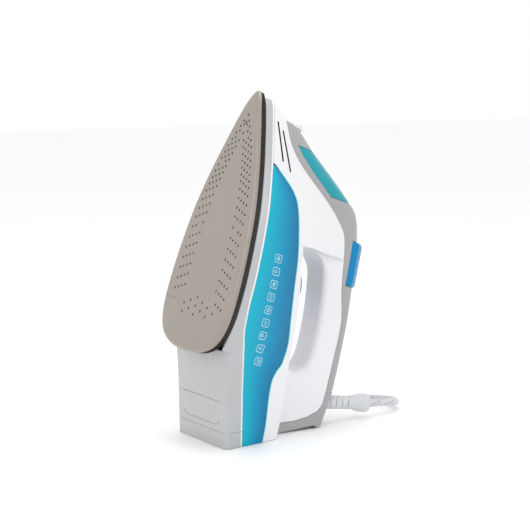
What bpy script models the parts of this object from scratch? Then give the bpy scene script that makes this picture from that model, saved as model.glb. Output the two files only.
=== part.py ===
"""A household steam iron standing on its heel with its nose up, cord coiled behind it.

World frame: metres, +Z up, the floor at z = 0, the origin on the floor under the middle of
the heel block. The iron's left side faces +X and the sole faces -Y. The iron leans back, so
its body is drawn in the iron's own frame, which the empty iron_frame tilts: x across,
y away from the sole face, z along the sole towards the nose. Shape tables hold millimetres
of the design drawing, which at(), up() and along() scale to the real length, width and height.
"""

import math

import bmesh
import bpy
from mathutils import Matrix, Vector

# ---- Driving dimensions, in metres ----
SOLE_LENGTH = 0.2354
SOLE_WIDTH = 0.115
HANDLE_HEIGHT = 0.160
DRAWN_LENGTH, DRAWN_WIDTH, DRAWN_HEIGHT = 235.4, 115.0, 160.0
MM = 0.001
LEAN = math.radians(18.3)
HEEL_CENTRE = 0.072
HEEL_FRONT = 0.0450
HEEL_BACK = 0.0995

WALL = 0.0024
PANEL_THICKNESS = 0.0020
SOLE_THICKNESS = 0.0040
SKIRT_HEIGHT = 0.0044
CLEARANCE = 0.0003
STEAM_HOLE_RADIUS = 0.0009
HANDLE_HALF_WIDTH = 0.0160
DIAL_RADIUS = 0.0225
DIAL_HEIGHT = 0.0120
DIAL_STATION = SOLE_LENGTH * 166 / DRAWN_LENGTH
SHAFT_RADIUS = 0.0030
KEY_LENGTH = 0.0405
KEY_STATION = SOLE_LENGTH * 200.8 / DRAWN_LENGTH
KEY_HALF_WIDTH = 0.0135
PUMP_RADIUS = 0.0055
PUMP_STATION = SOLE_LENGTH * 212.0 / DRAWN_LENGTH
PUMP_SPACING = 0.0140
ROD_RADIUS = 0.0018
LID_FRONT = 0.2860
LID_REAR = 0.2525
LID_THICKNESS = 0.0020
EYE_RADIUS = 0.0021
PIN_RADIUS = 0.0010
SLIDER_STATION = KEY_STATION + KEY_LENGTH / 2 + 0.01295
SLIDER_TRAVEL = 0.0050
ELEMENT_RADIUS = 0.0035
CORD_RADIUS = 0.0035
GUARD_LENGTH = 0.0600
GUARD_RADIUS = 0.0062
BALL_RADIUS = 0.0082
GUARD_CENTRE = (0.0, HANDLE_HEIGHT + 0.0035, 0.0208)
GUARD_DROP = math.radians(7.5)
NOZZLE_RADIUS = 0.0036
VENT_WIDTH = 1.5
CORD_BEND = 0.0285
COIL_MEAN_RADIUS = 0.0395
COIL_COLUMNS = 4
COIL_LAYERS = 2

# ---- Shape tables: (station along the sole, value), in drawing millimetres ----
SOLE_EDGE = [(86.6, 0.0), (87.2, 14), (89.5, 28), (95, 41), (103, 49.5), (116, 55.3), (132, 57.5),
             (155, 57.2), (182, 54.6), (215, 48.8), (250, 37.6), (285, 22.8), (303, 14.2),
             (315, 7.6), (320.2, 3.6), (322, 0.0)]
BODY_EDGE = [(0, 46), (60, 46), (80, 46.8), (95, 49), (110, 53), (130, 57), (150, 57.3), (180, 54.8),
             (215, 48.8), (250, 37.6), (285, 22.8), (303, 14.2), (312, 9.4), (317.5, 4.5)]
BACK_LINE = [(0, 157), (50, 157), (66, 158.2), (80, 160), (143, 156), (178, 152), (219, 144),
             (235, 140), (247, 133), (252, 126.4), (268.5, 101), (286.3, 72), (299, 55),
             (304, 46), (317.5, 21.5)]
COVER_EDGE = [(0, 148), (70, 148), (84.5, 147), (142, 144), (176, 134), (223, 121.4), (230, 115.4),
              (240.3, 102.7), (275, 49.4), (288, 40), (303, 35)]
SILVER_EDGE = [(0, 65.9), (37, 53.6), (67, 43.7), (85, 37.7), (103, 29.5), (112, 24.5), (121, 20.6),
               (135, 18), (150, 17.3), (320, 17.3)]
PANEL_EDGE = [(0, 84), (27, 81.5), (40, 80), (80, 74.5), (90, 77), (98, 81), (108, 81), (135, 74),
              (164, 67.5), (186, 64.5), (219, 57), (235, 52), (243, 46.5), (262.5, 18.4)]
DECK = [(0, 98), (30, 97), (80, 93), (98, 90), (200, 68), (206, 66.7)]
FULLNESS = [(0, 0.42), (40, 0.42), (120, 0.72), (320, 0.72)]
HAND_OPENING = [(68, 200.5), (80, 202.5), (92, 202), (100, 199.5), (106, 195), (110, 188), (113, 178),
                (116.5, 162), (119, 147), (120.5, 133), (121.3, 118), (120.5, 107), (117, 99.5),
                (111, 95.5), (103, 94.5), (95, 96), (90, 99)]
REAR_BACK = [(160.2, 84), (160.2, 78), (158.4, 66), (157.4, 56), (156.6, 50), (156, 40), (155, 20)]
REAR_INNER = [(147.3, 84), (147.3, 71), (144, 64), (135, 57), (122, 50.5), (108, 46), (106, 20)]
VENTS = [((23.5, 300), (31, 266.5)), ((30.5, 294), (41, 260))]

BAND_BASE = 9.0
BAND_TOP = 17.3
PANEL_FRONT = 260.5


def clear_scene():
    for old in list(bpy.data.objects):
        bpy.data.objects.remove(old, do_unlink=True)


def along(mm):
    return mm / DRAWN_LENGTH * SOLE_LENGTH


def drawn(z):
    """The drawing station at a real distance along the sole."""
    return z / along(1.0)


def across(mm):
    return mm / DRAWN_WIDTH * SOLE_WIDTH


def up(mm):
    return mm / DRAWN_HEIGHT * HANDLE_HEIGHT


def at(x, v, s):
    return Vector((across(x), up(v), along(s)))


def table(points, s):
    """Straight-line reading of a shape table at station s."""
    if s <= points[0][0]:
        return points[0][1]
    for (s0, y0), (s1, y1) in zip(points, points[1:]):
        if s <= s1:
            return y0 + (y1 - y0) * (s - s0) / (s1 - s0)
    return points[-1][1]


def side(v, s):
    """Half width of the body at height v and station s: full at the band, narrowing upwards."""
    share = min(max((v - BAND_TOP) / (table(BACK_LINE, s) - BAND_TOP), 0.0), 0.985)
    width = table(BODY_EDGE, s) * (1.0 - share) ** table(FULLNESS, s)
    return max(width, HANDLE_HALF_WIDTH / across(1.0)) if s <= 240 else width


# ---- Building helpers ----
def material(name, colour, roughness, metallic=0.0):
    found = bpy.data.materials.get(name)
    if found:
        return found
    made = bpy.data.materials.new(name)
    made.use_nodes = True
    shader = made.node_tree.nodes["Principled BSDF"]
    shader.inputs["Base Color"].default_value = (*colour, 1.0)
    shader.inputs["Roughness"].default_value = roughness
    shader.inputs["Metallic"].default_value = metallic
    return made


FINISHES = {
    "sole": ((0.39, 0.35, 0.31), 0.35, 0.3), "aluminium": ((0.6, 0.6, 0.6), 0.5, 0.9),
    "steel": ((0.55, 0.55, 0.56), 0.3, 1.0), "black": ((0.01, 0.01, 0.01), 0.5, 0.0),
    "silver": ((0.62, 0.62, 0.63), 0.35, 0.2), "blue": ((0.0, 0.28, 0.5), 0.25, 0.0),
    "white": ((0.86, 0.86, 0.87), 0.35, 0.0), "grey": ((0.42, 0.42, 0.42), 0.4, 0.0),
    "clear_blue": ((0.0, 0.45, 0.55), 0.1, 0.0), "tank": ((0.5, 0.75, 0.85), 0.1, 0.0),
    "rubber": ((0.05, 0.05, 0.05), 0.8, 0.0), "brass": ((0.7, 0.5, 0.2), 0.3, 1.0),
    "cord": ((0.8, 0.8, 0.8), 0.8, 0.0), "red": ((0.5, 0.02, 0.02), 0.3, 0.0),
    "teal": ((0.01, 0.12, 0.2), 0.4, 0.0),
}


def link(name, mesh, finish, parent, origin=(0, 0, 0)):
    """Puts a mesh in the scene with its object's origin at the given point of its parent."""
    mesh.transform(Matrix.Translation(-Vector(origin)))
    obj = bpy.data.objects.new(name, mesh)
    obj.location = origin
    obj.parent = parent
    if finish:
        mesh.materials.append(material(finish, *FINISHES[finish]))
    bpy.context.scene.collection.objects.link(obj)
    return obj


def smooth(mesh, angle=35):
    mesh.shade_smooth()
    mesh.set_sharp_from_angle(angle=math.radians(angle))


def mesh_from(name, points, faces):
    mesh = bpy.data.meshes.new(name)
    mesh.from_pydata([tuple(p) for p in points], [], faces)
    work = bmesh.new()
    work.from_mesh(mesh)
    bmesh.ops.remove_doubles(work, verts=work.verts, dist=1e-6)
    bmesh.ops.recalc_face_normals(work, faces=work.faces)
    work.to_mesh(mesh)
    work.free()
    mesh.update()
    smooth(mesh)
    return mesh


def loft(name, rings, strips=False):
    """A closed solid through rings of equal point count, capped at both ends.

    With strips, each cap is cut across from the ring's right side to its left.
    """
    count = len(rings[0])
    points = [p for ring in rings for p in ring]
    faces = []
    for r in range(len(rings) - 1):
        for i in range(count):
            j = (i + 1) % count
            faces.append((r * count + i, r * count + j, (r + 1) * count + j, (r + 1) * count + i))
    for first in (0, (len(rings) - 1) * count):
        if not strips:
            faces.append(tuple(first + i for i in range(count)))
            continue
        for i in range(count // 2):
            corners = [i, i + 1, count - i - 1, (count - i) % count]
            faces.append(tuple(first + c for c in dict.fromkeys(corners)))
    return mesh_from(name, points, faces)


def turned(name, profile, start, axis, sides=20):
    """A solid of revolution: profile holds (distance along the axis, radius) from start."""
    axis = Vector(axis).normalized()
    out = axis.orthogonal().normalized()
    rings = []
    for distance, radius in profile:
        centre = Vector(start) + axis * distance
        rings.append([centre + Matrix.Rotation(math.tau * i / sides, 3, axis) @ out * radius
                      for i in range(sides)])
    return loft(name, rings)


def tube_ring(name, start, axis, length, outer, inner, sides=20):
    """A plain hollow cylinder."""
    axis = Vector(axis).normalized()
    out = axis.orthogonal().normalized()
    rings = []
    for distance, radius in ((0, outer), (length, outer), (length, inner), (0, inner)):
        rings.append([Vector(start) + axis * distance
                      + Matrix.Rotation(math.tau * i / sides, 3, axis) @ out * radius
                      for i in range(sides)])
    points = [p for ring in rings for p in ring]
    faces = [(r * sides + i, r * sides + (i + 1) % sides,
              (r + 1) % 4 * sides + (i + 1) % sides, (r + 1) % 4 * sides + i)
             for r in range(4) for i in range(sides)]
    return mesh_from(name, points, faces)


def block(name, low, high):
    """A box between two corners."""
    (x0, y0, z0), (x1, y1, z1) = low, high
    return loft(name, [[(x0, y0, z), (x1, y0, z), (x1, y1, z), (x0, y1, z)] for z in (z0, z1)])


def cutter(name, mesh, parent):
    obj = link(name, mesh, None, parent)
    obj.hide_render = True
    obj.display_type = "WIRE"
    return obj


def boolean(obj, other, operation="DIFFERENCE"):
    modifier = obj.modifiers.new(other.name, "BOOLEAN")
    modifier.operation = operation
    modifier.solver = "EXACT"
    modifier.object = other


def bevel(obj, width, segments=2):
    modifier = obj.modifiers.new("rounded edges", "BEVEL")
    modifier.width = width
    modifier.segments = segments
    modifier.limit_method = "ANGLE"
    modifier.angle_limit = math.radians(40)


def pipe(name, route, radius, finish, parent, resolution=2):
    """A round bar, wire or hose along a list of points."""
    curve = bpy.data.curves.new(name, "CURVE")
    curve.dimensions = "3D"
    curve.bevel_depth = radius
    curve.bevel_resolution = resolution
    curve.use_fill_caps = True
    spline = curve.splines.new("POLY")
    spline.points.add(len(route) - 1)
    for point, place in zip(spline.points, route):
        point.co = (*place, 1.0)
    obj = bpy.data.objects.new(name, curve)
    obj.parent = parent
    curve.materials.append(material(finish, *FINISHES[finish]))
    bpy.context.scene.collection.objects.link(obj)
    return obj


def eased(route, spacing):
    """Points at even spacing along a smooth curve through the route's own points."""
    route = [Vector(p) for p in route]
    padded = [2 * route[0] - route[1]] + route + [2 * route[-1] - route[-2]]
    fine = []
    for a, b, c, d in zip(padded, padded[1:], padded[2:], padded[3:]):
        for k in range(16):
            t = k / 16
            fine.append(0.5 * (2 * b + (c - a) * t + (2 * a - 5 * b + 4 * c - d) * t * t
                               + (3 * b - a - 3 * c + d) * t ** 3))
    fine.append(route[-1])
    total = sum((q - p).length for p, q in zip(fine, fine[1:]))
    step = total / max(round(total / spacing), 1)
    points, walked = [fine[0]], 0.0
    for p, q in zip(fine, fine[1:]):
        run = (q - p).length
        while walked + run >= step and run > 0:
            p = p + (q - p) * ((step - walked) / run)
            run = (q - p).length
            walked = 0.0
            points.append(p)
        walked += run
    points[-1] = fine[-1]
    return points


# ---- Outlines shared by the layers of the sole ----
def nose_lift(z):
    """How far the sole's tip curls up from the sole face."""
    return 0.0018 * max(0.0, (z - along(300)) / along(22)) ** 2


def sole_ring(inset, height, lift=True):
    """The sole's outline moved in by a small inset, at a height from the sole face."""
    right = []
    for k, (s, width) in enumerate(SOLE_EDGE):
        s0, w0 = SOLE_EDGE[max(k - 1, 0)]
        s1, w1 = SOLE_EDGE[min(k + 1, len(SOLE_EDGE) - 1)]
        out = Vector((s1 - s0, w0 - w1)).normalized()
        if width == 0.0:
            out = Vector((0.0, 1.0 if s > 200 else -1.0))
        z = along(s) - out.y * inset
        rise = nose_lift(z) if lift else 0.0
        right.append(Vector((across(width) - out.x * inset, height + rise, z)))
    return right + [Vector((-p.x, p.y, p.z)) for p in reversed(right[1:-1])]


def layer_ring(inset, height, heel, nose=306, lift=False):
    """The sole's outline moved well in, from a heel station to a blunt nose."""
    stations = [heel, heel + 1.5, heel + 5, heel + 12] + [s for s in (132, 155, 182, 215, 250, 270, 285, 295)
                                                          if heel + 14 < s < nose - 3]
    right = []
    for s in stations + [nose]:
        corner = {heel: 0.80, heel + 1.5: 0.91, heel + 5: 0.98}.get(s, 1.0)
        slope = 1.14 if s > 225 else 1.02
        width = max(corner * (across(table(SOLE_EDGE, s)) - inset * slope), 0.0010)
        rise = nose_lift(along(s)) if lift else 0.0
        right.append(Vector((width, height + rise, along(s))))
    return right + [Vector((-p.x, p.y, p.z)) for p in reversed(right)]


# ---- Body layers, cut across at stations along the sole ----
STATIONS = [317, 314.5, 311, 306, 300, 290, 278, 265, 254, 243, 232, 220, 210, 195, 176, 155, 139, 125,
            113, 104, 95.4, 95, 86, 76, 64, 50, 36, 22, 8]


def body_rings(stations, low, high, inset, count=7):
    """Cross rings of the body between heights low(s) and high(s), moved in from its side."""
    rings = []
    for s in stations:
        bottom, top = low(s), high(s)
        right = []
        for k in range(count):
            v = bottom + (top - bottom) * k / (count - 1)
            width = max(across(side(v, s)) - inset, 0.0006)
            right.append(Vector((width, up(v), along(s))))
        rings.append(right + [Vector((-p.x, p.y, p.z)) for p in reversed(right)])
    return rings


def crown_rings(stations, low, inset, drop=0.0, count=7, half=None):
    """Cross rings of the rounded back: from height low(s) up to the back line less drop."""
    rings = []
    for s in stations:
        bottom, top = low(s), table(BACK_LINE, s) - drop
        bottom = min(bottom, top - 1.2)
        width = edge_half_width(s) if half is None else half(s)
        right = []
        for k in range(count):
            turn = 0.5 * math.pi * k / (count - 1)
            reach = max(width * math.cos(turn) ** 0.7 - inset, 0.0)
            right.append(Vector((reach, up(bottom + (top - bottom) * math.sin(turn)), along(s))))
        rings.append(right + [Vector((-p.x, p.y, p.z)) for p in reversed(right[:-1])])
    return rings


def edge_half_width(s):
    """Half width where the white housing meets the grey cover."""
    if s > 204:
        return max(across(side(table(COVER_EDGE, s), s)), 0.0006)
    return HANDLE_HALF_WIDTH


def profile_prism(name, profile, half):
    """A shape drawn in side view as (v, s) points, standing out to both sides by half."""
    return loft(name, [[Vector((x, up(v), along(s))) for v, s in profile] for x in (-half, half)])


def floor_cutter(name, height=0.0):
    """Everything below the floor plane."""
    return cutter(name, block(name, (-0.3, -0.3, -0.2), (0.3, 0.4, height)), STAND)


def silver(s):
    return table(SILVER_EDGE, s)


def heel_front(s):
    """Height of the heel block's upright front face, or of the band's base ahead of it."""
    return (HEEL_FRONT - along(s) * math.sin(LEAN)) / math.cos(LEAN) / up(1.0) if s < 95.2 else BAND_BASE


def make_sole():
    rings = [sole_ring(0.0020, 0.0), sole_ring(0.0004, 0.0011), sole_ring(0.0, 0.0024),
             sole_ring(0.0006, SOLE_THICKNESS)]
    plate = link("soleplate", loft("soleplate", rings, strips=True), "sole", IRON)
    holes = bmesh.new()
    for x, s in steam_holes():
        for hand in ((1,) if x == 0 else (1, -1)):
            place = Matrix.Translation((hand * across(x), SOLE_THICKNESS / 2, along(s)))
            bmesh.ops.create_cone(holes, cap_ends=True, segments=4, radius1=STEAM_HOLE_RADIUS,
                                  radius2=STEAM_HOLE_RADIUS, depth=SOLE_THICKNESS * 4,
                                  matrix=place @ Matrix.Rotation(math.pi / 2, 4, "X"))
    mesh = bpy.data.meshes.new("steam hole cutters")
    holes.to_mesh(mesh)
    holes.free()
    boolean(plate, cutter("steam_hole_cutters", mesh, IRON))


def steam_holes():
    """Right-hand hole centres (x, station): chevron rows of four, and a cluster at the heel."""
    centres = [(0, 298.7), (0, 292.1), (4.2, 293.3), (0, 282.0)]
    row = 288.2
    while row > 127:
        outer = across_of_row(row)
        for k in range(4):
            if outer - 5.15 * k > 1.9:
                centres.append((outer - 5.15 * k, row + 1.75 * k))
        row -= 6.0 if row > 236 else 6.7 if row > 230 else 8.1 if row > 204 else 9.4
    for k, columns in enumerate((4, 3, 1)):
        for column in range(columns):
            centres.append((10.1 * column, 134.0 - 7.7 * k - 3.6 * column))
    return centres


def across_of_row(s):
    """Distance of a row's outer steam hole from the middle."""
    inset = 10.2 if s > 225 else 10.2 + (225 - s) * 0.055
    return table(SOLE_EDGE, s) - min(inset, 15.2) - max(0.0, s - 272) * 0.22


def make_heater():
    base = SOLE_THICKNESS + CLEARANCE
    deck = base + 0.0130
    casting = link("heater_casting", loft("heater_casting", [layer_ring(0.0080, base, 99, 300),
                                                             layer_ring(0.0080, deck, 99, 300)]),
                   "aluminium", IRON)
    pocket = loft("chamber_pocket", [layer_ring(0.0165, base + 0.0045, 112, 284),
                                     layer_ring(0.0165, deck + 0.01, 112, 284)])
    boolean(casting, cutter("chamber_pocket", pocket, IRON))
    low = deck + CLEARANCE
    sheet = [layer_ring(0.0120, z, 117, 294) for z in (low, low + 0.0012)]
    link("chamber_cover", loft("chamber_cover", sheet), "steel", IRON)
    leg = across(22)
    height = base + 0.0045 + CLEARANCE + ELEMENT_RADIUS
    half = [(leg, deck + 0.012, along(107)), (leg, deck + 0.004, along(107)),
            (leg, height + 0.003, along(109.5)), (leg, height, along(118)),
            (leg * 1.15, height, along(150)), (leg * 0.95, height, along(200)),
            (leg * 0.5, height, along(245))]
    route = half + [(0, height, along(258))] + [(-x, y, z) for x, y, z in reversed(half)]
    pipe("heating_element", eased(route, 0.010), ELEMENT_RADIUS - CLEARANCE, "steel", IRON)
    for hand in (1, -1):
        way = turned("element_way", [(0, ELEMENT_RADIUS + 0.0010), (0.02, ELEMENT_RADIUS + 0.0010)],
                     (hand * leg, height - ELEMENT_RADIUS, along(108)), (0, 1, 0), 12)
        boolean(casting, cutter("element_way", way, IRON))
        half_way = ELEMENT_RADIUS + 0.0008
        trench = block("element_trench",
                       (hand * leg - half_way, height - ELEMENT_RADIUS - CLEARANCE, along(106)),
                       (hand * leg + half_way, deck + 0.01, along(116)))
        boolean(casting, cutter("element_trench", trench, IRON))
    low = SOLE_THICKNESS + CLEARANCE
    skirt = link("heat_skirt", loft("heat_skirt", [sole_ring(0.0012, low),
                                            sole_ring(0.0012, low + SKIRT_HEIGHT, lift=False)],
                                           strips=True), "black", IRON)
    inner = loft("skirt_hollow", [layer_ring(0.0055, 0.0, 96, 307), layer_ring(0.0055, 0.03, 96, 307)])
    boolean(skirt, cutter("skirt_hollow", inner, IRON))
    return deck + CLEARANCE + 0.0012


def make_lower_housing():
    shell = link("lower_housing", loft("lower_housing", body_rings(STATIONS, heel_front, silver, 0.0, 4)),
                 "silver", IRON)
    hollow = body_rings(STATIONS[1:] + [-20], lambda s: -2 if s > 95 else heel_front(s) + 2.6,
                        lambda s: silver(s) + 4, WALL, 4)
    boolean(shell, cutter("lower_housing_hollow", loft("lower_housing_hollow", hollow), IRON))
    boolean(shell, FLOOR)


def floor_half(y, inset):
    """Half width of the body where it meets the floor, y metres behind the sole's own plane."""
    height, station = y * math.cos(LEAN), y * math.sin(LEAN)
    return across(side(height / up(1.0), station / along(1.0))) - inset


def make_heel_cover():
    behind_band = WALL + 0.0006
    behind_panel = PANEL_THICKNESS + WALL + 0.0012
    front = HEEL_FRONT + WALL + 0.0008
    seam = up(table(SILVER_EDGE, 20)) * math.cos(LEAN) + along(20) * math.sin(LEAN)
    back = HEEL_BACK - 0.0045
    right = [(floor_half(front, behind_band) - 0.003, front), (floor_half(front, behind_band), front + 0.003),
             (floor_half(seam, behind_band), seam - 0.001), (floor_half(seam, behind_panel), seam + 0.0005),
             (floor_half(0.080, behind_panel), 0.080), (floor_half(back, behind_panel), back - 0.003),
             (floor_half(back, behind_panel) - 0.003, back)]
    outline = right + [(-x, y) for x, y in reversed(right)]
    plate = link("heel_cover", loft("heel_cover", [[(x, y, z) for x, y in outline]
                                                   for z in (0.0, WALL)]), "grey", STAND)
    for hand, name in ((1, "left"), (-1, "right")):
        spot = (hand * across(20), HEEL_CENTRE + 0.012)
        hole = turned("hole", [(-0.01, 0.0036), (0.02, 0.0036)], (*spot, 0.0), (0, 0, 1), 16)
        boolean(plate, cutter("heel_screw_hole_" + name, hole, STAND))
        profile = [(0.0004, 0.0028), (0.0010, 0.0032), (0.0022, 0.0032), (0.0022, 0.0016), (0.012, 0.0013)]
        link("heel_screw_" + name, turned("heel_screw", profile, (*spot, 0.0), (0, 0, 1), 12), "steel", STAND)


def panel_rings(grow, depth):
    stations = [s for s in STATIONS if s < PANEL_FRONT]
    stations = [PANEL_FRONT + (1.2 if grow else 0)] + stations[:-1] + [5 if grow else 8]
    rings = []
    for s in stations:
        low = silver(s) + (-3 if grow else 0.35)
        high = max(table(PANEL_EDGE, s) + (0.35 if grow else 0.0), silver(s) + 1.2)
        outer, inner = [], []
        for k in range(5):
            v = low + (high - low) * k / 4
            width = across(side(v, s))
            outer.append(Vector((width + (0.004 if grow else 0.0), up(v), along(s))))
            inner.append(Vector((width - depth, up(v), along(s))))
        rings.append(outer + list(reversed(inner)))
    return rings


def make_side_panels():
    for hand, name in ((1, "left"), (-1, "right")):
        flip = Matrix.Scale(hand, 4, (1, 0, 0))
        rings = [[flip @ p for p in ring] for ring in panel_rings(False, PANEL_THICKNESS)]
        panel = link("side_panel_" + name, loft("side_panel", rings), "blue", IRON)
        boolean(panel, FLOOR)
        recess = [[flip @ p for p in ring] for ring in panel_rings(True, PANEL_THICKNESS + CLEARANCE)]
        boolean(HOUSING[0], cutter("panel_recess_" + name, loft("panel_recess", recess), IRON))


HOUSING = []


def body_top(s):
    if s > 304.2:
        return table(BACK_LINE, s) - 0.4
    return table(COVER_EDGE, s) + 4 if s > 201.5 else table(DECK, s)


def make_housing():
    stations = sorted(set(STATIONS + [304.4, 304.0, 201.7, 201.3]), reverse=True)[1:]
    rings = body_rings(stations, lambda s: silver(s) + 0.35, body_top, 0.0, 9)
    housing = link("main_housing", loft("main_housing", rings), "white", IRON)
    HOUSING.append(housing)
    half = HANDLE_HALF_WIDTH
    grip = []
    for s in (206, 176, 142, 100, 84, 50, 0):
        low_v, high_v = table(DECK, s) - 4, table(COVER_EDGE, s) + 3
        grip.append([Vector((x, up(v), along(s))) for x, v in
                     ((half, low_v), (half, high_v), (-half, high_v), (-half, low_v))])
    boolean(housing, cutter("grip_and_rear_pillar", loft("grip", grip), IRON), "UNION")
    seam = [(table(COVER_EDGE, s), s) for s in (304.2, 288, 275, 240.3, 230, 223, 176, 142, 84.5, 60)]
    boolean(housing, cutter("cover_seam", profile_prism("cover_seam", seam + [(200, 60), (200, 304.2)], 0.06),
                            IRON))
    boolean(housing, cutter("hand_opening", profile_prism("hand_opening", opening_profile(), 0.08), IRON))
    hollow_stations = [s for s in stations if 208 < s < 304.2] + [205.5]
    wall = PANEL_THICKNESS + WALL + 0.0004
    front = body_rings(hollow_stations, lambda s: 5, lambda s: body_top(s) + 3, wall)
    boolean(housing, cutter("front_hollow", loft("front_hollow", front), IRON))
    rear_stations = [208] + [s for s in stations if s < 201] + [-25]
    rear = body_rings(rear_stations, lambda s: 4.5, lambda s: table(DECK, s) - 2.6, wall)
    boolean(housing, cutter("rear_hollow", loft("rear_hollow", rear), IRON))
    channel = [(112, 209), (117, 188), (121.5, 160), (124.5, 120), (124, 90), (80, 90), (80, 20),
               (170, 20), (170, 209)]
    boolean(housing, cutter("handle_channel", profile_prism("handle_channel", channel, half - WALL), IRON))
    seat = [(v - 0.35, s + 0.35) for v, s in REAR_INNER[:-1]] + [(105.65, 20), (170, 20), (170, 84.35)]
    boolean(housing, cutter("rear_cover_seat", profile_prism("rear_cover_seat", seat, 0.05), IRON))
    for k, ((v0, s0), (v1, s1)) in enumerate(VENTS):
        vent = [(v0, s0), (v0 - VENT_WIDTH, s0), (v1 - VENT_WIDTH, s1), (v1, s1)]
        boolean(housing, cutter(f"vent_{k}", profile_prism("vent", vent, 0.06), IRON))
    boolean(housing, FLOOR)


def opening_profile():
    deck = [(table(DECK, s) - 0.2, s) for s in (99, 125, 150, 175)]
    return [(v - (0.2 if k in (0, 16) else 0), s) for k, (v, s) in enumerate(HAND_OPENING)] + deck[1:]


def cover_low(s):
    return table(COVER_EDGE, s) + 0.35


COVER_STATIONS = [303.8, 299, 293, 288, 282, 275, 268.5, 260, 252, 247, 240.3, 235, 230, 223, 212, 194,
                  176, 159, 142, 125, 105, 84.4]


def make_top_cover():
    cover = link("top_cover", loft("top_cover", crown_rings(COVER_STATIONS, cover_low, 0.0)), "grey", IRON)
    inner = crown_rings(COVER_STATIONS[1:] + [70], lambda s: table(COVER_EDGE, s) - 12, WALL, 2.4)
    boolean(cover, cutter("top_cover_hollow", loft("top_cover_hollow", inner), IRON))
    boolean(cover, cutter("lid_seat", loft("lid_seat", lid_rings(CLEARANCE + 0.0001, -3, True)), IRON))
    key_front, key_rear = KEY_STATION + KEY_LENGTH / 2, KEY_STATION - KEY_LENGTH / 2
    above = [(key_sill(key_rear), key_rear - CLEARANCE), (0.2, key_rear - CLEARANCE),
             (0.2, key_front + CLEARANCE), (key_sill(key_front), key_front + CLEARANCE)]
    notch = loft("key_notch", [[Vector((x, y, z)) for y, z in above] for x in (-0.04, 0.04)])
    boolean(cover, cutter("key_notch", notch, IRON))
    well = KEY_HALF_WIDTH + CLEARANCE
    rear, front = key_rear - CLEARANCE * 1.1, key_front + CLEARANCE * 1.1
    below = [(key_sill(key_rear) - 0.0060, rear), (0.22, rear),
             (0.22, front), (key_sill(key_front) - 0.0060, front)]
    boolean(cover, cutter("key_well", loft("key_well", [[Vector((x, y, z)) for y, z in below]
                                                        for x in (-well, well)]), IRON))
    boolean(cover, cutter("lid_sweep", lid_sweep(), IRON))
    slot = block("slot", (-0.0040, up(120), SLIDER_STATION - 0.0048),
                 (0.0040, up(170), SLIDER_STATION + 0.0048 + SLIDER_TRAVEL))
    boolean(cover, cutter("slider_slot", slot, IRON))
    hole = NOZZLE_RADIUS - 0.0010 + CLEARANCE
    nose = turned("nozzle_hole", [(-0.03, hole), (0.03, hole)], nozzle_place(), nozzle_axis(), 16)
    boolean(cover, cutter("nozzle_hole", nose, IRON))


def key_sill(z):
    """Height of the keys' underside above the sole, which runs parallel to the handle."""
    return up(137.0) - (z - (KEY_STATION - KEY_LENGTH / 2)) * 0.1


def nozzle_place():
    return at(0, table(BACK_LINE, 300) - 1, 300)


def nozzle_axis():
    return (0.0, 0.55, 0.84)


def lid_rings(grow, drop, deep):
    """The filler lid, or the seat cut for it: the crown of the back between its two ends."""
    rings = []
    front, rear = LID_FRONT / MM, LID_REAR / MM
    ends = [front, front - 8, front - 17, front - 25, rear + 1.5, rear]
    extra = grow / MM
    ends[0] += extra
    ends[-1] -= extra
    for s in ends:
        drop = 1.3 if s == rear else min(drop, 0.0)
        edge = table(COVER_EDGE, s)
        top = table(BACK_LINE, s)
        low = edge + 0.26 * (top - edge) - extra
        right = []
        for k in range(7):
            v = low + (top - drop - low) * k / 6
            turn = math.asin(min(1.0, max(0.0, (v - edge) / (top - edge))))
            reach = edge_half_width(s) * math.cos(turn) ** 0.7
            reach = max(reach, 0.0022) + (0.004 if deep else 0.0)
            right.append(Vector((reach, up(v), along(s))))
        rings.append(right + [Vector((-p.x, p.y, p.z)) for p in reversed(right)])
    return rings


def lid_sweep():
    """The room that the lid's rear edge needs as it turns down behind the hinge."""
    axis = lid_axis()
    right = []
    for p in lid_rings(0.0, 0.0, False)[-1][:7]:
        if p.y > axis.y - 0.0005:
            right.append((p.x + CLEARANCE, math.hypot(p.y - axis.y, p.z - axis.z) + CLEARANCE))
    return turned("lid_sweep", [(-x, r) for x, r in right] + right[::-1], axis, (1, 0, 0), 32)


def make_lid():
    axis = lid_axis()
    rings = lid_rings(0.0, 0.0, False)
    lid = link("water_lid", loft("water_lid", rings), "clear_blue", IRON, axis)
    hollow = crown_rings([290, 286], lambda s: table(COVER_EDGE, s) - 10, 0.0003, 0.35)
    hollow += crown_rings([274, 266, 260, 252, 240], lambda s: table(COVER_EDGE, s) - 10,
                          LID_THICKNESS, 2.2)
    boolean(lid, cutter("lid_hollow", loft("lid_hollow", hollow), IRON))
    solid_eye = turned("solid_eye", [(-0.0045, EYE_RADIUS), (0.0045, EYE_RADIUS)], axis, (1, 0, 0), 16)
    boolean(lid, cutter("lid_hinge_eye", solid_eye, IRON), "UNION")
    bore = turned("bore", [(-0.03, PIN_RADIUS + CLEARANCE), (0.03, PIN_RADIUS + CLEARANCE)],
                  axis, (1, 0, 0), 16)
    boolean(lid, cutter("lid_pin_bore", bore, IRON))
    pin = turned("lid_pin", [(-0.0062, PIN_RADIUS), (0.0062, PIN_RADIUS)], axis, (1, 0, 0), 12)
    link("lid_pin", pin, "steel", IRON)


def lid_axis():
    """Centre of the lid's hinge pin, just under the back at the lid's rear end."""
    s = LID_REAR / MM + 2.4
    return Vector((0.0, up(table(BACK_LINE, s)) - EYE_RADIUS - 0.0004, along(s)))


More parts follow.
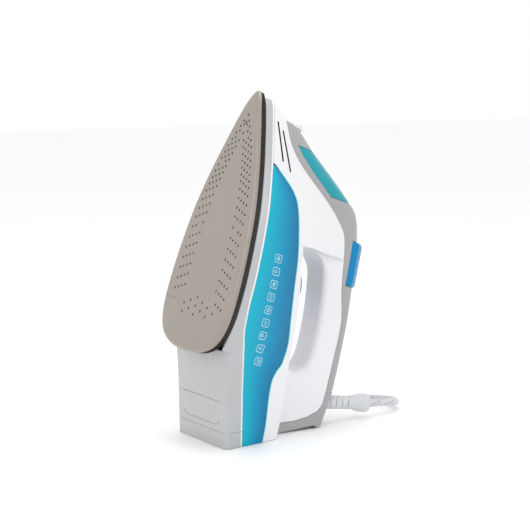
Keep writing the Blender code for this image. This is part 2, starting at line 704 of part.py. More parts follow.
def make_keys():
    rear, front = KEY_STATION - KEY_LENGTH / 2, KEY_STATION + KEY_LENGTH / 2
    for hand, name in ((1, "spray"), (-1, "steam")):
        rings = []
        for z, rise in ((rear, 0.0), (rear + 0.0025, 0.0020), (front - 0.0025, 0.0020), (front, 0.0)):
            sill = key_sill(z)
            shape = [(CLEARANCE, -0.0008), (KEY_HALF_WIDTH, -0.0008), (KEY_HALF_WIDTH, 0.0070 + rise),
                     (KEY_HALF_WIDTH - 0.0035, 0.0110 + rise), (0.0070, 0.0150 + rise),
                     (CLEARANCE, 0.0172 + rise)]
            rings.append([Vector((hand * x, sill + y, z)) for x, y in shape])
        link(name + "_button", loft("key", rings), "blue", IRON, (0, key_sill(KEY_STATION), KEY_STATION))
        x = hand * PUMP_SPACING / 2
        top = key_sill(PUMP_STATION) - 0.0008 - CLEARANCE
        base = up(92)
        mouth = up(118)
        bore = PUMP_RADIUS - 0.0018
        body = link(name + "_pump_body", turned("pump", [(0, PUMP_RADIUS), (mouth - base, PUMP_RADIUS)],
                                                (x, base, PUMP_STATION), (0, 1, 0), 16), "white", IRON)
        well = turned("well", [(0.0025, bore), (0.1, bore)], (x, base, PUMP_STATION), (0, 1, 0), 16)
        boolean(body, cutter(name + "_pump_bore", well, IRON))
        head = mouth - base - 0.010
        piston = [(head, bore - CLEARANCE), (head + 0.006, bore - CLEARANCE), (head + 0.006, ROD_RADIUS),
                  (top - base - 0.0002, ROD_RADIUS)]
        link(name + "_piston", turned("piston", piston, (x, base, PUMP_STATION), (0, 1, 0), 16),
             "brass", IRON)
        turns, low, high = 5, mouth + 0.0010, top - 0.0012
        coil = [(x + 0.0034 * math.cos(math.tau * turns * k / 50), low + (high - low) * k / 50,
                 PUMP_STATION + 0.0034 * math.sin(math.tau * turns * k / 50)) for k in range(51)]
        pipe(name + "_spring", coil, 0.0005, "steel", IRON, 0)


def tank_top(s):
    return min(table(BACK_LINE, s) - 40, table(DECK, min(s, 204)) - 5.5)


def make_water_system(chamber_top):
    gap = PANEL_THICKNESS + WALL + 0.0022
    stations = [300, 290, 280, 270, 260, 250, 240, 225, 204, 195, 179]
    base = chamber_top / up(1.0) + 4.5
    rings = body_rings(stations, lambda s: base, lambda s: max(tank_top(s), base + 4), gap)
    tank = link("water_tank", loft("water_tank", rings), "tank", IRON)
    inner = body_rings([s for s in stations if 180 < s < 292], lambda s: base + 1.8,
                       lambda s: max(tank_top(s) - 1.8, base + 2.5), gap + 0.0018)
    boolean(tank, cutter("tank_hollow", loft("tank_hollow", inner), IRON))
    mouth = at(0, tank_top(252), 258)
    neck = turned("tank_mouth", [(-0.012, 0.0062), (0.010, 0.0062)], mouth, (0, 1, 0), 20)
    boolean(tank, cutter("tank_mouth", neck, IRON))
    rod = turned("rod_way", [(0, 0.0028), (0.09, 0.0028)], (0, 0.010, SLIDER_STATION), (0, 1, 0), 12)
    boolean(tank, cutter("valve_rod_way", rod, IRON))
    base = mouth.y + CLEARANCE
    funnel = turned("funnel", [(0, 0.0080), (0.006, 0.0080), (0.016, 0.0092)], (0, base, mouth.z), (0, 1, 0))
    made = link("filler_funnel", funnel, "white", IRON)
    bore = turned("funnel_bore", [(-0.001, 0.0060), (0.006, 0.0060), (0.0161, 0.0078)],
                  (0, base, mouth.z), (0, 1, 0))
    boolean(made, cutter("funnel_bore", bore, IRON))
    seat_low = chamber_top + CLEARANCE
    seat = tube_ring("valve_seat", (0, seat_low, SLIDER_STATION), (0, 1, 0), 0.0035, 0.0060, 0.0026, 16)
    link("valve_seat", seat, "brass", IRON)
    rod_low = seat_low + 0.0010
    rod_high = up(table(BACK_LINE, drawn(SLIDER_STATION))) - 0.0150
    profile = [(0, 0.0010), (0.004, ROD_RADIUS), (rod_high - rod_low, ROD_RADIUS)]
    link("valve_rod", turned("valve_rod", profile, (0, rod_low, SLIDER_STATION), (0, 1, 0), 12),
         "steel", IRON)
    make_slider()


def slide_direction():
    """The steam slider runs down the back of the nose, level with its surface there."""
    fall = table(BACK_LINE, 228) - table(BACK_LINE, 244)
    return Vector((0.0, -up(fall), along(16))).normalized()


def make_slider():
    forward = slide_direction()
    outward = Vector((0.0, forward.z, -forward.y))
    top = Vector((0.0, up(table(BACK_LINE, drawn(SLIDER_STATION)) - 0.6), SLIDER_STATION))
    rings = []
    for depth, half, reach in ((0.0098, 0.0056, 0.0060), (0.0080, 0.0056, 0.0060), (0.0080, 0.0036, 0.0040),
                               (0.0, 0.0034, 0.0036)):
        centre = top - outward * depth
        rings.append([centre + Vector((x * half, 0, 0)) + forward * y * reach
                      for x, y in ((1, -1), (1, 1), (-1, 1), (-1, -1))])
    link("steam_slider", loft("steam_slider", rings), "blue", IRON, top)


def deck_up():
    """Square to the deck under the hand opening, which falls towards the nose."""
    fall = table(DECK, 120) - table(DECK, 180)
    return Vector((0.0, along(60), up(fall))).normalized()


def make_thermostat(chamber_top):
    z = DIAL_STATION
    normal = deck_up()
    deck = Vector((0.0, up(table(DECK, drawn(z))), z)) + normal * 0.0008
    low = chamber_top + CLEARANCE
    reach = (deck.y - low - 0.0115) / normal.y
    foot = deck - normal * reach
    body = [(0, 0.0115), (0.006, 0.0115), (0.006, 0.0075), (0.010, 0.0075)]
    link("thermostat", turned("thermostat", body, (0, low, foot.z), (0, 1, 0)), "steel", IRON)
    bore_depth = 0.0063
    shaft = [(0, SHAFT_RADIUS), (reach + bore_depth - CLEARANCE, SHAFT_RADIUS)]
    link("dial_shaft", turned("dial_shaft", shaft, foot, normal, 16), "steel", IRON)
    way = turned("shaft_way", [(-0.015, SHAFT_RADIUS + CLEARANCE), (0.01, SHAFT_RADIUS + CLEARANCE)],
                 deck, normal, 16)
    boolean(HOUSING[0], cutter("shaft_way", way, IRON))
    dial = [(0, DIAL_RADIUS), (DIAL_HEIGHT - 0.0015, DIAL_RADIUS), (DIAL_HEIGHT, DIAL_RADIUS - 0.0015)]
    made = link("temperature_dial", turned("dial", dial, deck, normal, 36), "teal", IRON, deck)
    bore = turned("dial_bore", [(-0.001, SHAFT_RADIUS + CLEARANCE), (bore_depth, SHAFT_RADIUS + CLEARANCE)],
                  deck, normal, 16)
    boolean(made, cutter("dial_bore", bore, IRON))
    fuse = turned("thermal_fuse", [(-0.010, 0.0025), (0.010, 0.0025)], (across(20), low + 0.0030, along(140)),
                  (1, 0, 0.4), 12)
    link("thermal_fuse", fuse, "steel", IRON)
    lens = (0, up(table(DECK, 132)) , along(132))
    hole = turned("lens_hole", [(-0.01, 0.0040), (0.01, 0.0040)], lens, (0, 1, 0), 16)
    boolean(HOUSING[0], cutter("lens_hole", hole, IRON))
    shape = [(-0.0060, 0.0036), (0.0004, 0.0036), (0.0012, 0.0022)]
    link("pilot_lens", turned("pilot_lens", shape, lens, (0, 1, 0), 16), "red", IRON)
    lamp = [(-0.0180, 0.0022), (-0.0085, 0.0026), (-0.0066, 0.0014)]
    link("pilot_lamp", turned("pilot_lamp", lamp, lens, (0, 1, 0), 12), "tank", IRON)


def make_nozzle():
    axis = nozzle_axis()
    shape = [(-0.0060, NOZZLE_RADIUS - 0.0010), (0.0006, NOZZLE_RADIUS - 0.0010), (0.0006, NOZZLE_RADIUS),
             (0.0028, NOZZLE_RADIUS * 0.92), (0.0046, NOZZLE_RADIUS * 0.55)]
    base = nozzle_place() + Vector(axis) * 0.0010
    nozzle = link("spray_nozzle", turned("spray_nozzle", shape, base, axis, 16), "tank", IRON)
    way = turned("nozzle_way", [(0.0020, 0.0007), (0.02, 0.0007)], nozzle_place(), axis, 8)
    boolean(nozzle, cutter("nozzle_way", way, IRON))
    start = nozzle_place() - Vector(axis) * 0.0053
    x = PUMP_SPACING / 2
    below = up(92) - CLEARANCE * 1.5
    route = [start, start - Vector(axis) * 0.008, at(4, 47, 282), at(9, 61, 272), at(11.6, 71, 262),
             at(11.7, 76, 250), at(10.5, 79, 236), (x + 0.002, up(79), PUMP_STATION + 0.014),
             (x + 0.0004, up(81), PUMP_STATION + 0.004), (x, below - 0.0075, PUMP_STATION),
             (x, below - 0.004, PUMP_STATION), (x, below, PUMP_STATION)]
    pipe("spray_hose", eased(route, 0.004), 0.0016, "cord", IRON, 1)
    route = [(-x, below, PUMP_STATION), (-x, below - 0.004, PUMP_STATION), (-x, below - 0.0075, PUMP_STATION),
             (-x - 0.001, up(80), PUMP_STATION + 0.005), at(-11, 75, 224), at(-13, 70, 229),
             at(-13.5, table(DECK, 204) - 3.4, 231)]
    pipe("steam_hose", eased(route, 0.004), 0.0016, "cord", IRON, 1)


def cover_screw_place():
    """The screw stands in the foot, its clamp just above the foot's inner face."""
    face = along(49.2) * math.cos(LEAN) - up(118) * math.sin(LEAN)
    return 0.0, HANDLE_HEIGHT - 0.034, face - 0.0051


def make_rear_cover():
    slices = []
    for x in (-1.0, -0.96, -0.84, -0.6, -0.3, 0.0, 0.3, 0.6, 0.84, 0.96, 1.0):
        round_off = max(1.0 - abs(x) ** 2.86, 0.0) ** 0.5
        back = [(147.3 + (v - 147.3) * max(round_off, 0.14), s) for v, s in REAR_BACK]
        slices.append([Vector((x * HANDLE_HALF_WIDTH, up(v), along(s))) for v, s in back + REAR_INNER[::-1]])
    cover = link("rear_cover", loft("rear_cover", slices), "grey", IRON)
    under = [(0.100, -0.2), (0.100, 0.0004), (0.112, 0.0006), (0.150, 0.0030), (0.1545, 0.0030),
             (0.1560, 0.0), (0.19, 0.0), (0.19, -0.2)]
    underside = loft("underside", [[(x, y, z) for y, z in under] for x in (-0.04, 0.04)])
    boolean(cover, cutter("underside", underside, STAND))
    centre = Vector(GUARD_CENTRE)
    room = turned("ball_room", ball_profile(BALL_RADIUS + CLEARANCE), centre, (0, 1, 0), 20)
    boolean(cover, cutter("ball_room", room, STAND))
    slot = []
    for x in (-0.0075, 0.0075):
        slot.append([(x, centre.y, centre.z - 0.0078), (x, centre.y + 0.030, centre.z - 0.0125),
                     (x, centre.y + 0.030, centre.z + 0.0165), (x, centre.y, centre.z + 0.0165)])
    boolean(cover, cutter("guard_slot", loft("guard_slot", slot), STAND))
    inside = block("cord_room", (-0.0075, centre.y - 0.030, centre.z - 0.0070),
                   (0.0075, centre.y + 0.002, centre.z + 0.0070))
    boolean(cover, cutter("cord_room", inside, STAND))
    screw = cover_screw_place()
    hole = turned("cover_screw_hole", [(-0.01, 0.0034), (0.0095, 0.0034)], screw, (0, 0, 1), 16)
    boolean(cover, cutter("cover_screw_hole", hole, STAND))
    shape = [(0.0, 0.0030), (0.0020, 0.0030), (0.0020, 0.0016), (0.0105, 0.0014)]
    link("cover_screw", turned("cover_screw", shape, screw, (0, 0, 1), 12), "steel", STAND)


def ball_profile(radius):
    return [(radius * -math.cos(math.pi * k / 10), max(radius * math.sin(math.pi * k / 10), 0.0004))
            for k in range(11)]


def guard_direction():
    return Vector((0.0, math.cos(GUARD_DROP), -math.sin(GUARD_DROP)))


def make_cord_guard():
    direction = guard_direction()
    centre = Vector(GUARD_CENTRE)
    ball = [(-BALL_RADIUS * math.cos(a), BALL_RADIUS * math.sin(a))
            for a in [math.pi * k / 12 for k in range(2, 9)]]
    neck = [(0.0075, 0.0056), (0.0120, GUARD_RADIUS), (0.0420, GUARD_RADIUS), (0.0470, 0.0078),
            (0.0550, 0.0088), (GUARD_LENGTH, 0.0062)]
    link("cord_guard", turned("cord_guard", ball + neck, centre, direction, 20), "cord", STAND,
         GUARD_CENTRE)
    return centre + direction * GUARD_LENGTH


def cord_route(exit_point):
    """From the guard in an easy half turn down to the floor, then back beside the coil."""
    direction = guard_direction()
    start = exit_point + direction * CLEARANCE
    lie = CORD_RADIUS + CLEARANCE
    turn_y, steps = exit_point.y + 0.019, 6
    route = [start, start + direction * 0.009]
    for k in range(steps + 1):
        angle = math.pi * k / steps
        z = lie + 0.0078 * max(1.0 - angle / 2.4, 0.0) ** 1.5
        route.append(Vector((CORD_BEND * (math.cos(angle) - 1), turn_y + CORD_BEND * math.sin(angle), z)))
    x, y = coil_centre(exit_point)
    outer = COIL_MEAN_RADIUS + CORD_RADIUS * COIL_COLUMNS + CORD_RADIUS + CLEARANCE
    meet = y + math.sqrt(outer ** 2 - (x + 2 * CORD_BEND) ** 2)
    return route + [Vector((-2 * CORD_BEND, turn_y - 0.012, lie)), Vector((-2 * CORD_BEND, meet, lie))]


def coil_centre(exit_point):
    """The coil lies so that its outer turn carries straight on from the cord's return run."""
    outer_turn = COIL_MEAN_RADIUS + CORD_RADIUS * (COIL_COLUMNS - 1)
    return -2 * CORD_BEND - outer_turn, exit_point.y - 0.039


def make_cord(exit_point):
    pipe("cord", eased(cord_route(exit_point), 0.012), CORD_RADIUS, "cord", STAND, 2)
    x, y = coil_centre(exit_point)
    half = CORD_RADIUS * COIL_COLUMNS
    height = CORD_RADIUS * (2 + 1.74 * (COIL_LAYERS - 1))
    ring = tube_ring("cord_coil", (x, y, 0.0), (0, 0, 1), height, COIL_MEAN_RADIUS + half,
                     COIL_MEAN_RADIUS - half, 32)
    link("cord_coil", ring, "cord", STAND)
    base = Vector((x + 0.0268, y + 0.0083, height + CLEARANCE + 0.0185))
    body = [(0, 0.0050), (0.012, 0.0060), (0.016, 0.0140), (0.030, 0.0175), (0.040, 0.0182), (0.044, 0.0182)]
    aim = (-0.35, -1.0, 0.0)
    link("plug_body", turned("plug_body", body, base, aim, 24), "cord", STAND)
    face = base + Vector(aim).normalized() * (0.044 + CLEARANCE)
    across_face = Vector(aim).cross(Vector((0, 0, 1))).normalized()
    for hand, name in ((1, "left"), (-1, "right")):
        pin = turned("plug_pin", [(0, 0.0024), (0.017, 0.0024), (0.019, 0.0014)],
                     face + across_face * hand * 0.0095, aim, 12)
        link("plug_pin_" + name, pin, "steel", STAND)


def make_wiring(chamber_top):
    block_low = (-0.0100, up(100), along(62))
    link("terminal_block", block("terminal_block", block_low, (0.0100, up(112), along(72))), "white", IRON)
    x, y, z = cover_screw_place()
    bar = block("cord_clamp", (x - 0.009, y - 0.007, z + 0.0060), (x + 0.009, y + 0.0045, z + 0.0092))
    clamp = link("cord_clamp", bar, "black", STAND)
    thread = turned("clamp_hole", [(0, 0.0019), (0.02, 0.0019)], (x, y, z), (0, 0, 1), 12)
    boolean(clamp, cutter("clamp_hole", thread, STAND))
    leg = across(22)
    start = chamber_top + 0.0105 + 2 * CLEARANCE
    for hand, name in ((1, "live"), (-1, "neutral")):
        route = [(hand * leg, start, along(107)), (hand * leg, start + 0.006, along(107)),
                 (hand * leg, up(60), along(102)), (hand * 0.010, up(78), along(88)),
                 (hand * 0.0070, up(96), along(81)), (hand * 0.0060, up(105.5), along(77)),
                 (hand * 0.0060, up(106), along(72) + CLEARANCE + 0.0010)]
        pipe(name + "_wire", eased(route, 0.008), 0.0012, "rubber" if hand > 0 else "blue", IRON, 1)


def make_sole_screws(chamber_top):
    """Three screws that hold the chamber cover to the casting."""
    for name, x, s in (("front", 0, 268), ("left", 27, 128), ("right", -27, 128)):
        shape = [(CLEARANCE, 0.0042), (0.0026, 0.0040), (0.0030, 0.0026)]
        head = turned("screw", shape, (across(x), chamber_top, along(s)), (0, 1, 0), 12)
        link("chamber_screw_" + name, head, "steel", IRON)


clear_scene()
STAND = bpy.data.objects.new("stand", None)
STAND.location = (0.0, -HEEL_CENTRE, 0.0)
IRON = bpy.data.objects.new("iron_frame", None)
IRON.parent = STAND
IRON.rotation_euler = (-LEAN, 0.0, 0.0)
for empty in (STAND, IRON):
    bpy.context.scene.collection.objects.link(empty)
FLOOR = floor_cutter("floor_plane", CLEARANCE)
make_sole()
CHAMBER_TOP = make_heater()
make_lower_housing()
make_heel_cover()
make_housing()
make_side_panels()
make_top_cover()
make_lid()
make_keys()
make_water_system(CHAMBER_TOP)
make_thermostat(CHAMBER_TOP)
make_nozzle()
make_rear_cover()
make_cord(make_cord_guard())
make_wiring(CHAMBER_TOP)
make_sole_screws(CHAMBER_TOP)
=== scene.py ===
# %% [markdown]
# # A steam iron, drawn around its working parts
# The CAD frame already holds the iron as separate parts with real joints. This script gives each
# visible part its true surface: dense smooth shells in place of the coarse ones, the steam holes,
# the ribs, the braided cord, and a finish for every material. We load the frame first.

# %% Load the frame
import bisect
import math

import bmesh
import bpy
from mathutils import Matrix, Vector


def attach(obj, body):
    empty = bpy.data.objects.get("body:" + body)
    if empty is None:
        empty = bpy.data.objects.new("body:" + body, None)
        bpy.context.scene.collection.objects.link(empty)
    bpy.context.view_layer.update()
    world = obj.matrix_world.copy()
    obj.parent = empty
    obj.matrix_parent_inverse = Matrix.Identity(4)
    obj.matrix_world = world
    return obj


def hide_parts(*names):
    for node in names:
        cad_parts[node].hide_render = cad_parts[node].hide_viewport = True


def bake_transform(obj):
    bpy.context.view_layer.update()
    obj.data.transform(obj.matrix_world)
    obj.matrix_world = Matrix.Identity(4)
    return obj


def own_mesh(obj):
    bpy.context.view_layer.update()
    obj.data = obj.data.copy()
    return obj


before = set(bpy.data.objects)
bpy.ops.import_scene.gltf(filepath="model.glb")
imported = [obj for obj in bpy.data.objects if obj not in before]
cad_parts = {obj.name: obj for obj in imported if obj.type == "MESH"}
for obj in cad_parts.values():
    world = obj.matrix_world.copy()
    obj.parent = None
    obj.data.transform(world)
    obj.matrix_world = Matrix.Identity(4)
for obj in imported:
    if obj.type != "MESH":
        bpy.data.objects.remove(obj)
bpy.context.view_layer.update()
print("nodes:", len(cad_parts))

# %% [markdown]
# ## Camera, table and light
# The iron is seen from its left front, a little from above, so that the sole, the blue side and
# the handle all show. A long lens keeps its lines nearly parallel. A plain pale table and large
# soft lights give the even look of a product on white, with a faint shadow at the heel. The plain
# "Standard" view keeps white plastic white.

# %% Camera and stage
scene = bpy.context.scene
scene.view_settings.view_transform = "Standard"

lens = bpy.data.cameras.new("camera")
lens.lens = 106.1
lens.sensor_width = 36.0
camera = bpy.data.objects.new("camera", lens)
camera.location = (1.1648, -0.6890, 0.3279)
camera.rotation_euler = (math.radians(90 - 7.357), 0.0, math.radians(58))
scene.collection.objects.link(camera)
scene.camera = camera

world = bpy.data.worlds.new("studio")
world.use_nodes = True
world.node_tree.nodes["Background"].inputs["Color"].default_value = (1.0, 1.0, 1.0, 1.0)
world.node_tree.nodes["Background"].inputs["Strength"].default_value = 1.0
scene.world = world


def soft_light(name, place, target, size, power):
    """A square softbox at a place, turned to face a target."""
    light = bpy.data.lights.new(name, "AREA")
    light.size = size
    light.energy = power
    obj = bpy.data.objects.new(name, light)
    obj.location = place
    aim = Vector(target) - Vector(place)
    obj.rotation_euler = aim.to_track_quat("-Z", "Y").to_euler()
    scene.collection.objects.link(obj)


soft_light("key", (0.25, -1.25, 1.05), (0.0, 0.0, 0.15), 0.9, 3.6)
soft_light("fill", (1.35, 0.75, 0.95), (0.0, 0.02, 0.15), 1.0, 2.6)
soft_light("top", (-0.1, 0.15, 1.5), (0.0, 0.0, 0.1), 0.8, 4.2)

# %% Table
table_mesh = bpy.data.meshes.new("table")
table_mesh.from_pydata([(-6, -6, 0), (6, -6, 0), (6, 6, 0), (-6, 6, 0)], [], [(0, 1, 2, 3)])
table_top = bpy.data.objects.new("table", table_mesh)
scene.collection.objects.link(table_top)
paper = bpy.data.materials.new("table paper")
paper.use_nodes = True
paper.node_tree.nodes["Principled BSDF"].inputs["Base Color"].default_value = (0.96, 0.96, 0.96, 1)
paper.node_tree.nodes["Principled BSDF"].inputs["Roughness"].default_value = 0.55
table_mesh.materials.append(paper)
print("camera", tuple(round(v, 3) for v in camera.location), "lens", lens.lens)

# %% [markdown]
# ## Finishes
# Nothing on the real iron is one flat colour. Moulded plastic has a fine grain, a slow drift of
# tone and gloss that varies a little. One helper builds all of these from two noises: a fine one
# drives the bump, a broad one drifts the colour and the gloss. Values that are the same all over
# a surface go straight on the shader's own sockets.

# %% Finish helpers
FINISHES = {}


def tint(red, green, blue):
    """Screen colour, 0 to 255, as the linear colour that a shader takes."""
    return tuple(((c / 255 + 0.055) / 1.055) ** 2.4 if c > 10 else c / 3294.6
                 for c in (red, green, blue))


def put(tree, kind, inputs=(), **settings):
    """Adds a node to a tree, sets it up, and joins or fills its inputs."""
    node = tree.nodes.new(kind)
    for key, value in settings.items():
        setattr(node, key, value)
    for key, value in dict(inputs).items():
        if isinstance(value, bpy.types.NodeSocket):
            tree.links.new(value, node.inputs[key])
        else:
            node.inputs[key].default_value = value
    return node


class Nodes:
    """One material's shader nodes, with short names for what its finish needs."""

    def __init__(self, name):
        self.material = bpy.data.materials.new(name)
        self.material.use_nodes = True
        self.tree = self.material.node_tree
        self.shader = self.tree.nodes["Principled BSDF"]
        FINISHES[name] = self.material

    def add(self, kind, inputs=(), **settings):
        return put(self.tree, kind, inputs, **settings)

    def math(self, operation, a, b=0.0, c=0.0):
        return self.add("ShaderNodeMath", {0: a, 1: b, 2: c}, operation=operation).outputs[0]

    def blend(self, share, first, second):
        mix = self.add("ShaderNodeMix", data_type="RGBA")
        for index, value in ((0, share), (6, first), (7, second)):
            if isinstance(value, bpy.types.NodeSocket):
                self.tree.links.new(value, mix.inputs[index])
            else:
                mix.inputs[index].default_value = value if index == 0 else (*value[:3], 1.0)
        return mix.outputs[2]

    def noise(self, scale, detail=3.0, vector=None):
        vector = vector or self.place()
        return self.add("ShaderNodeTexNoise", {"Vector": vector, "Scale": scale,
                                               "Detail": detail}).outputs["Fac"]

    def place(self):
        return self.add("ShaderNodeTexCoord").outputs["Object"]

    def ramp(self, value, stops):
        node = self.add("ShaderNodeValToRGB", {"Fac": value})
        elements = node.color_ramp.elements
        while len(elements) < len(stops):
            elements.new(0.5)
        for element, (position, colour) in zip(elements, stops):
            element.position = position
            element.color = (*colour[:3], 1.0)
        return node.outputs["Color"]

    def steps(self, value, low, high, to_low=0.0, to_high=1.0):
        return self.add("ShaderNodeMapRange", {0: value, 1: low, 2: high, 3: to_low,
                                               4: to_high}).outputs[0]

    def bump(self, height, distance, strength=1.0):
        made = self.add("ShaderNodeBump", {"Height": height, "Distance": distance,
                                           "Strength": strength})
        self.tree.links.new(made.outputs["Normal"], self.shader.inputs["Normal"])

    def set(self, **sockets):
        for key, value in sockets.items():
            socket = self.shader.inputs[key.replace("_", " ")]
            if isinstance(value, bpy.types.NodeSocket):
                self.tree.links.new(value, socket)
            else:
                socket.default_value = value
        return self


def plastic(name, colour, gloss, grain=700.0, depth=0.00003, drift=0.05, **sockets):
    """Moulded plastic, or a paint, with fine grain and a slow drift of tone."""
    nodes = Nodes(name)
    broad = nodes.noise(26.0, 2.0)
    darker = tuple(c * (1.0 - drift) for c in colour)
    nodes.set(Base_Color=nodes.blend(nodes.steps(broad, 0.35, 0.65), darker, colour))
    nodes.set(Roughness=nodes.steps(nodes.noise(90.0), 0.3, 0.7, gloss * 0.88, gloss * 1.12))
    nodes.bump(nodes.noise(grain, 2.0), depth, 0.5)
    return nodes.set(**sockets)


plastic("white plastic", tint(228, 228, 231), 0.36, drift=0.02, Coat_Weight=0.15)
plastic("grey plastic", tint(160, 160, 160), 0.42, grain=900, depth=0.00005, drift=0.04)
plastic("silver paint", tint(182, 183, 185), 0.34, grain=1800, depth=0.00002, drift=0.05,
        Metallic=0.35, Coat_Weight=0.25)
plastic("key blue", tint(0, 128, 182), 0.3, drift=0.08, Specular_IOR_Level=0.2, Coat_Weight=0.06)
plastic("dial teal", tint(18, 100, 136), 0.38, drift=0.1)
# Painted shade: a dark navy for the inner walls of the vent slots, where shade falls inside them.
plastic("painted vent shade", tint(26, 40, 62), 0.6, grain=1200, drift=0.2)
plastic("black resin", tint(24, 24, 25), 0.42, grain=1200, depth=0.00006, drift=0.3)
plastic("white rubber", tint(208, 210, 213), 0.55, grain=1500, depth=0.00006, drift=0.05)
plastic("bright steel", tint(200, 201, 204), 0.22, grain=2400, drift=0.06, Metallic=1.0)
plastic("brass pin", tint(212, 178, 110), 0.24, grain=2400, drift=0.08, Metallic=1.0)
plastic("cast aluminium", tint(176, 177, 178), 0.55, grain=500, depth=0.0002, drift=0.12,
        Metallic=0.9)
plastic("clear plastic", (0.86, 0.93, 0.96), 0.10, drift=0.02, Transmission_Weight=0.55, IOR=1.46)
plastic("red lens", tint(190, 20, 16), 0.12, drift=0.1, Transmission_Weight=0.3)
plastic("hose silicone", tint(222, 224, 220), 0.45, drift=0.05)
plastic("brown lead", tint(110, 62, 34), 0.5, drift=0.1)
plastic("blue lead", tint(20, 80, 170), 0.5, drift=0.1)
plastic("tie strap", tint(40, 42, 46), 0.6, grain=1600, depth=0.0001, drift=0.15)
plastic("print white", tint(232, 242, 246), 0.5, drift=0.03)
plastic("bead cyan", tint(120, 214, 226), 0.3, drift=0.05, Coat_Weight=0.3)
print(len(FINISHES), "finishes so far")

# %% [markdown]
# Four finishes need more. The sole's ceramic coat holds fine mica specks under a satin gloss. The
# side panels run from turquoise beside the silver band to a deeper blue at the handle, so their
# colour follows the panel's own map. The lid is tinted clear plastic. The cord's sleeve is woven:
# two families of yarn wind round it in opposite directions and pass over and under, and a few grey
# yarns among the white make the flecks. Shade is painted into the grooves between the yarns.

# %% Ceramic, panel and lid finishes
ceramic = Nodes("sole ceramic")
specks = ceramic.steps(ceramic.noise(2600.0, 1.0), 0.62, 0.72)
base = ceramic.blend(ceramic.noise(18.0), tint(146, 137, 128), tint(156, 147, 138))
ceramic.set(Base_Color=ceramic.blend(ceramic.math("MULTIPLY", specks, 0.35), base, tint(196, 188, 178)),
            Roughness=ceramic.steps(ceramic.noise(60.0), 0.3, 0.7, 0.30, 0.38), Metallic=0.25,
            Coat_Weight=0.2, Coat_Roughness=0.25)
ceramic.bump(ceramic.noise(2200.0, 2.0), 0.00003, 0.4)

panel = Nodes("panel blue")
across_panel = panel.add("ShaderNodeSeparateXYZ", {0: panel.add("ShaderNodeUVMap").outputs[0]})
deep = panel.ramp(across_panel.outputs[1], [(0.0, tint(0, 172, 194)), (0.25, tint(0, 158, 188)),
                                            (0.6, tint(0, 134, 178)), (1.0, tint(0, 104, 150))])
towards_heel = panel.steps(across_panel.outputs[0], 0.10, 0.02)
deep = panel.blend(panel.math("MULTIPLY", towards_heel, 0.45), deep, tint(0, 84, 122))
panel.set(Base_Color=panel.blend(panel.math("MULTIPLY", panel.noise(30.0), 0.06), deep,
                                 tint(120, 225, 235)),
          Roughness=panel.steps(panel.noise(80.0), 0.3, 0.7, 0.26, 0.32), Specular_IOR_Level=0.16,
          Coat_Weight=0.04, Coat_Roughness=0.1)
panel.bump(panel.noise(500.0), 0.00002, 0.3)

lid_tint = Nodes("lid turquoise")
lid_tint.set(Base_Color=lid_tint.blend(lid_tint.noise(40.0), tint(0, 162, 178), tint(0, 178, 192)),
             Roughness=lid_tint.steps(lid_tint.noise(120.0), 0.3, 0.7, 0.08, 0.13),
             Transmission_Weight=0.30, IOR=1.49, Specular_IOR_Level=0.3, Coat_Weight=0.12,
             Coat_Roughness=0.05)

# %% Braided sleeve finish
braid = Nodes("cord braid")
YARNS = 12
wound = braid.add("ShaderNodeSeparateXYZ", {0: braid.add("ShaderNodeUVMap").outputs[0]})
calc = braid.math
around, run = calc("MULTIPLY", wound.outputs[0], YARNS), wound.outputs[1]
one, two = calc("ADD", around, run), calc("SUBTRACT", around, run)
parity = calc("ADD", calc("FLOOR", one), calc("FLOOR", two))
over = calc("MODULO", calc("ABSOLUTE", parity), 2.0)
ridges = [calc("SINE", calc("MULTIPLY", calc("FRACT", v), math.pi)) for v in (one, two)]
height = calc("ADD", calc("MULTIPLY", ridges[0], over),
              calc("MULTIPLY", ridges[1], calc("SUBTRACT", 1.0, over)))
dark_yarn = calc("LESS_THAN", calc("MODULO", calc("FLOOR", one), 4.0), 0.5)
fleck = calc("MULTIPLY", dark_yarn, over)
# Painted shade: each yarn is painted darker down in its grooves and lighter on its ridge; the bump below
# gives the real relief.
white = braid.blend(height, tint(170, 172, 177), tint(224, 225, 228))
braid.set(Base_Color=braid.blend(braid.math("MULTIPLY", fleck, 0.55), white, tint(120, 124, 132)),
          Roughness=0.85, Sheen_Weight=0.3, Sheen_Roughness=0.5)
braid.bump(height, 0.00025, 0.8)
print(len(FINISHES), "finishes")

# %% [markdown]
# ## Drawing the body
# The iron was drawn in its own frame, sole down: x across, v up from the sole face, s along the
# sole, in millimetres. Each outline is a short table of points, read through a smooth curve that
# never overshoots them. The whole drawing is then tilted back onto the heel.

# %% Frames and curves
LEAN = math.radians(18.3)
ON_STAND = Matrix.Translation((0.0, -0.072, 0.0))
IN_IRON = ON_STAND @ Matrix.Rotation(-LEAN, 4, "X")
MM = 0.001
WORLD_METRES = {"where": Matrix.Identity(4), "scale": 1.0}
STAND_METRES = {"where": ON_STAND, "scale": 1.0}
BOX_FACES = [(0, 3, 2, 1), (4, 5, 6, 7), (0, 1, 5, 4), (1, 2, 6, 5), (2, 3, 7, 6), (3, 0, 4, 7)]


def smooth_table(points):
    """A curve through (station, value) points that keeps their rises and falls."""
    xs, ys = [p[0] for p in points], [p[1] for p in points]
    slopes = [(b - a) / (q - p) for p, q, a, b in zip(xs, xs[1:], ys, ys[1:])]
    tangents = [slopes[0]]
    for a, b in zip(slopes, slopes[1:]):
        tangents.append(0.0 if a * b <= 0 else 2 * a * b / (a + b))
    tangents.append(slopes[-1])

    def read(s):
        if s <= xs[0]:
            return ys[0]
        if s >= xs[-1]:
            return ys[-1]
        k = bisect.bisect_right(xs, s) - 1
        run = xs[k + 1] - xs[k]
        t = (s - xs[k]) / run
        return ((2 * t ** 3 - 3 * t ** 2 + 1) * ys[k] + (t ** 3 - 2 * t ** 2 + t) * run * tangents[k]
                + (3 * t ** 2 - 2 * t ** 3) * ys[k + 1] + (t ** 3 - t ** 2) * run * tangents[k + 1])

    return read


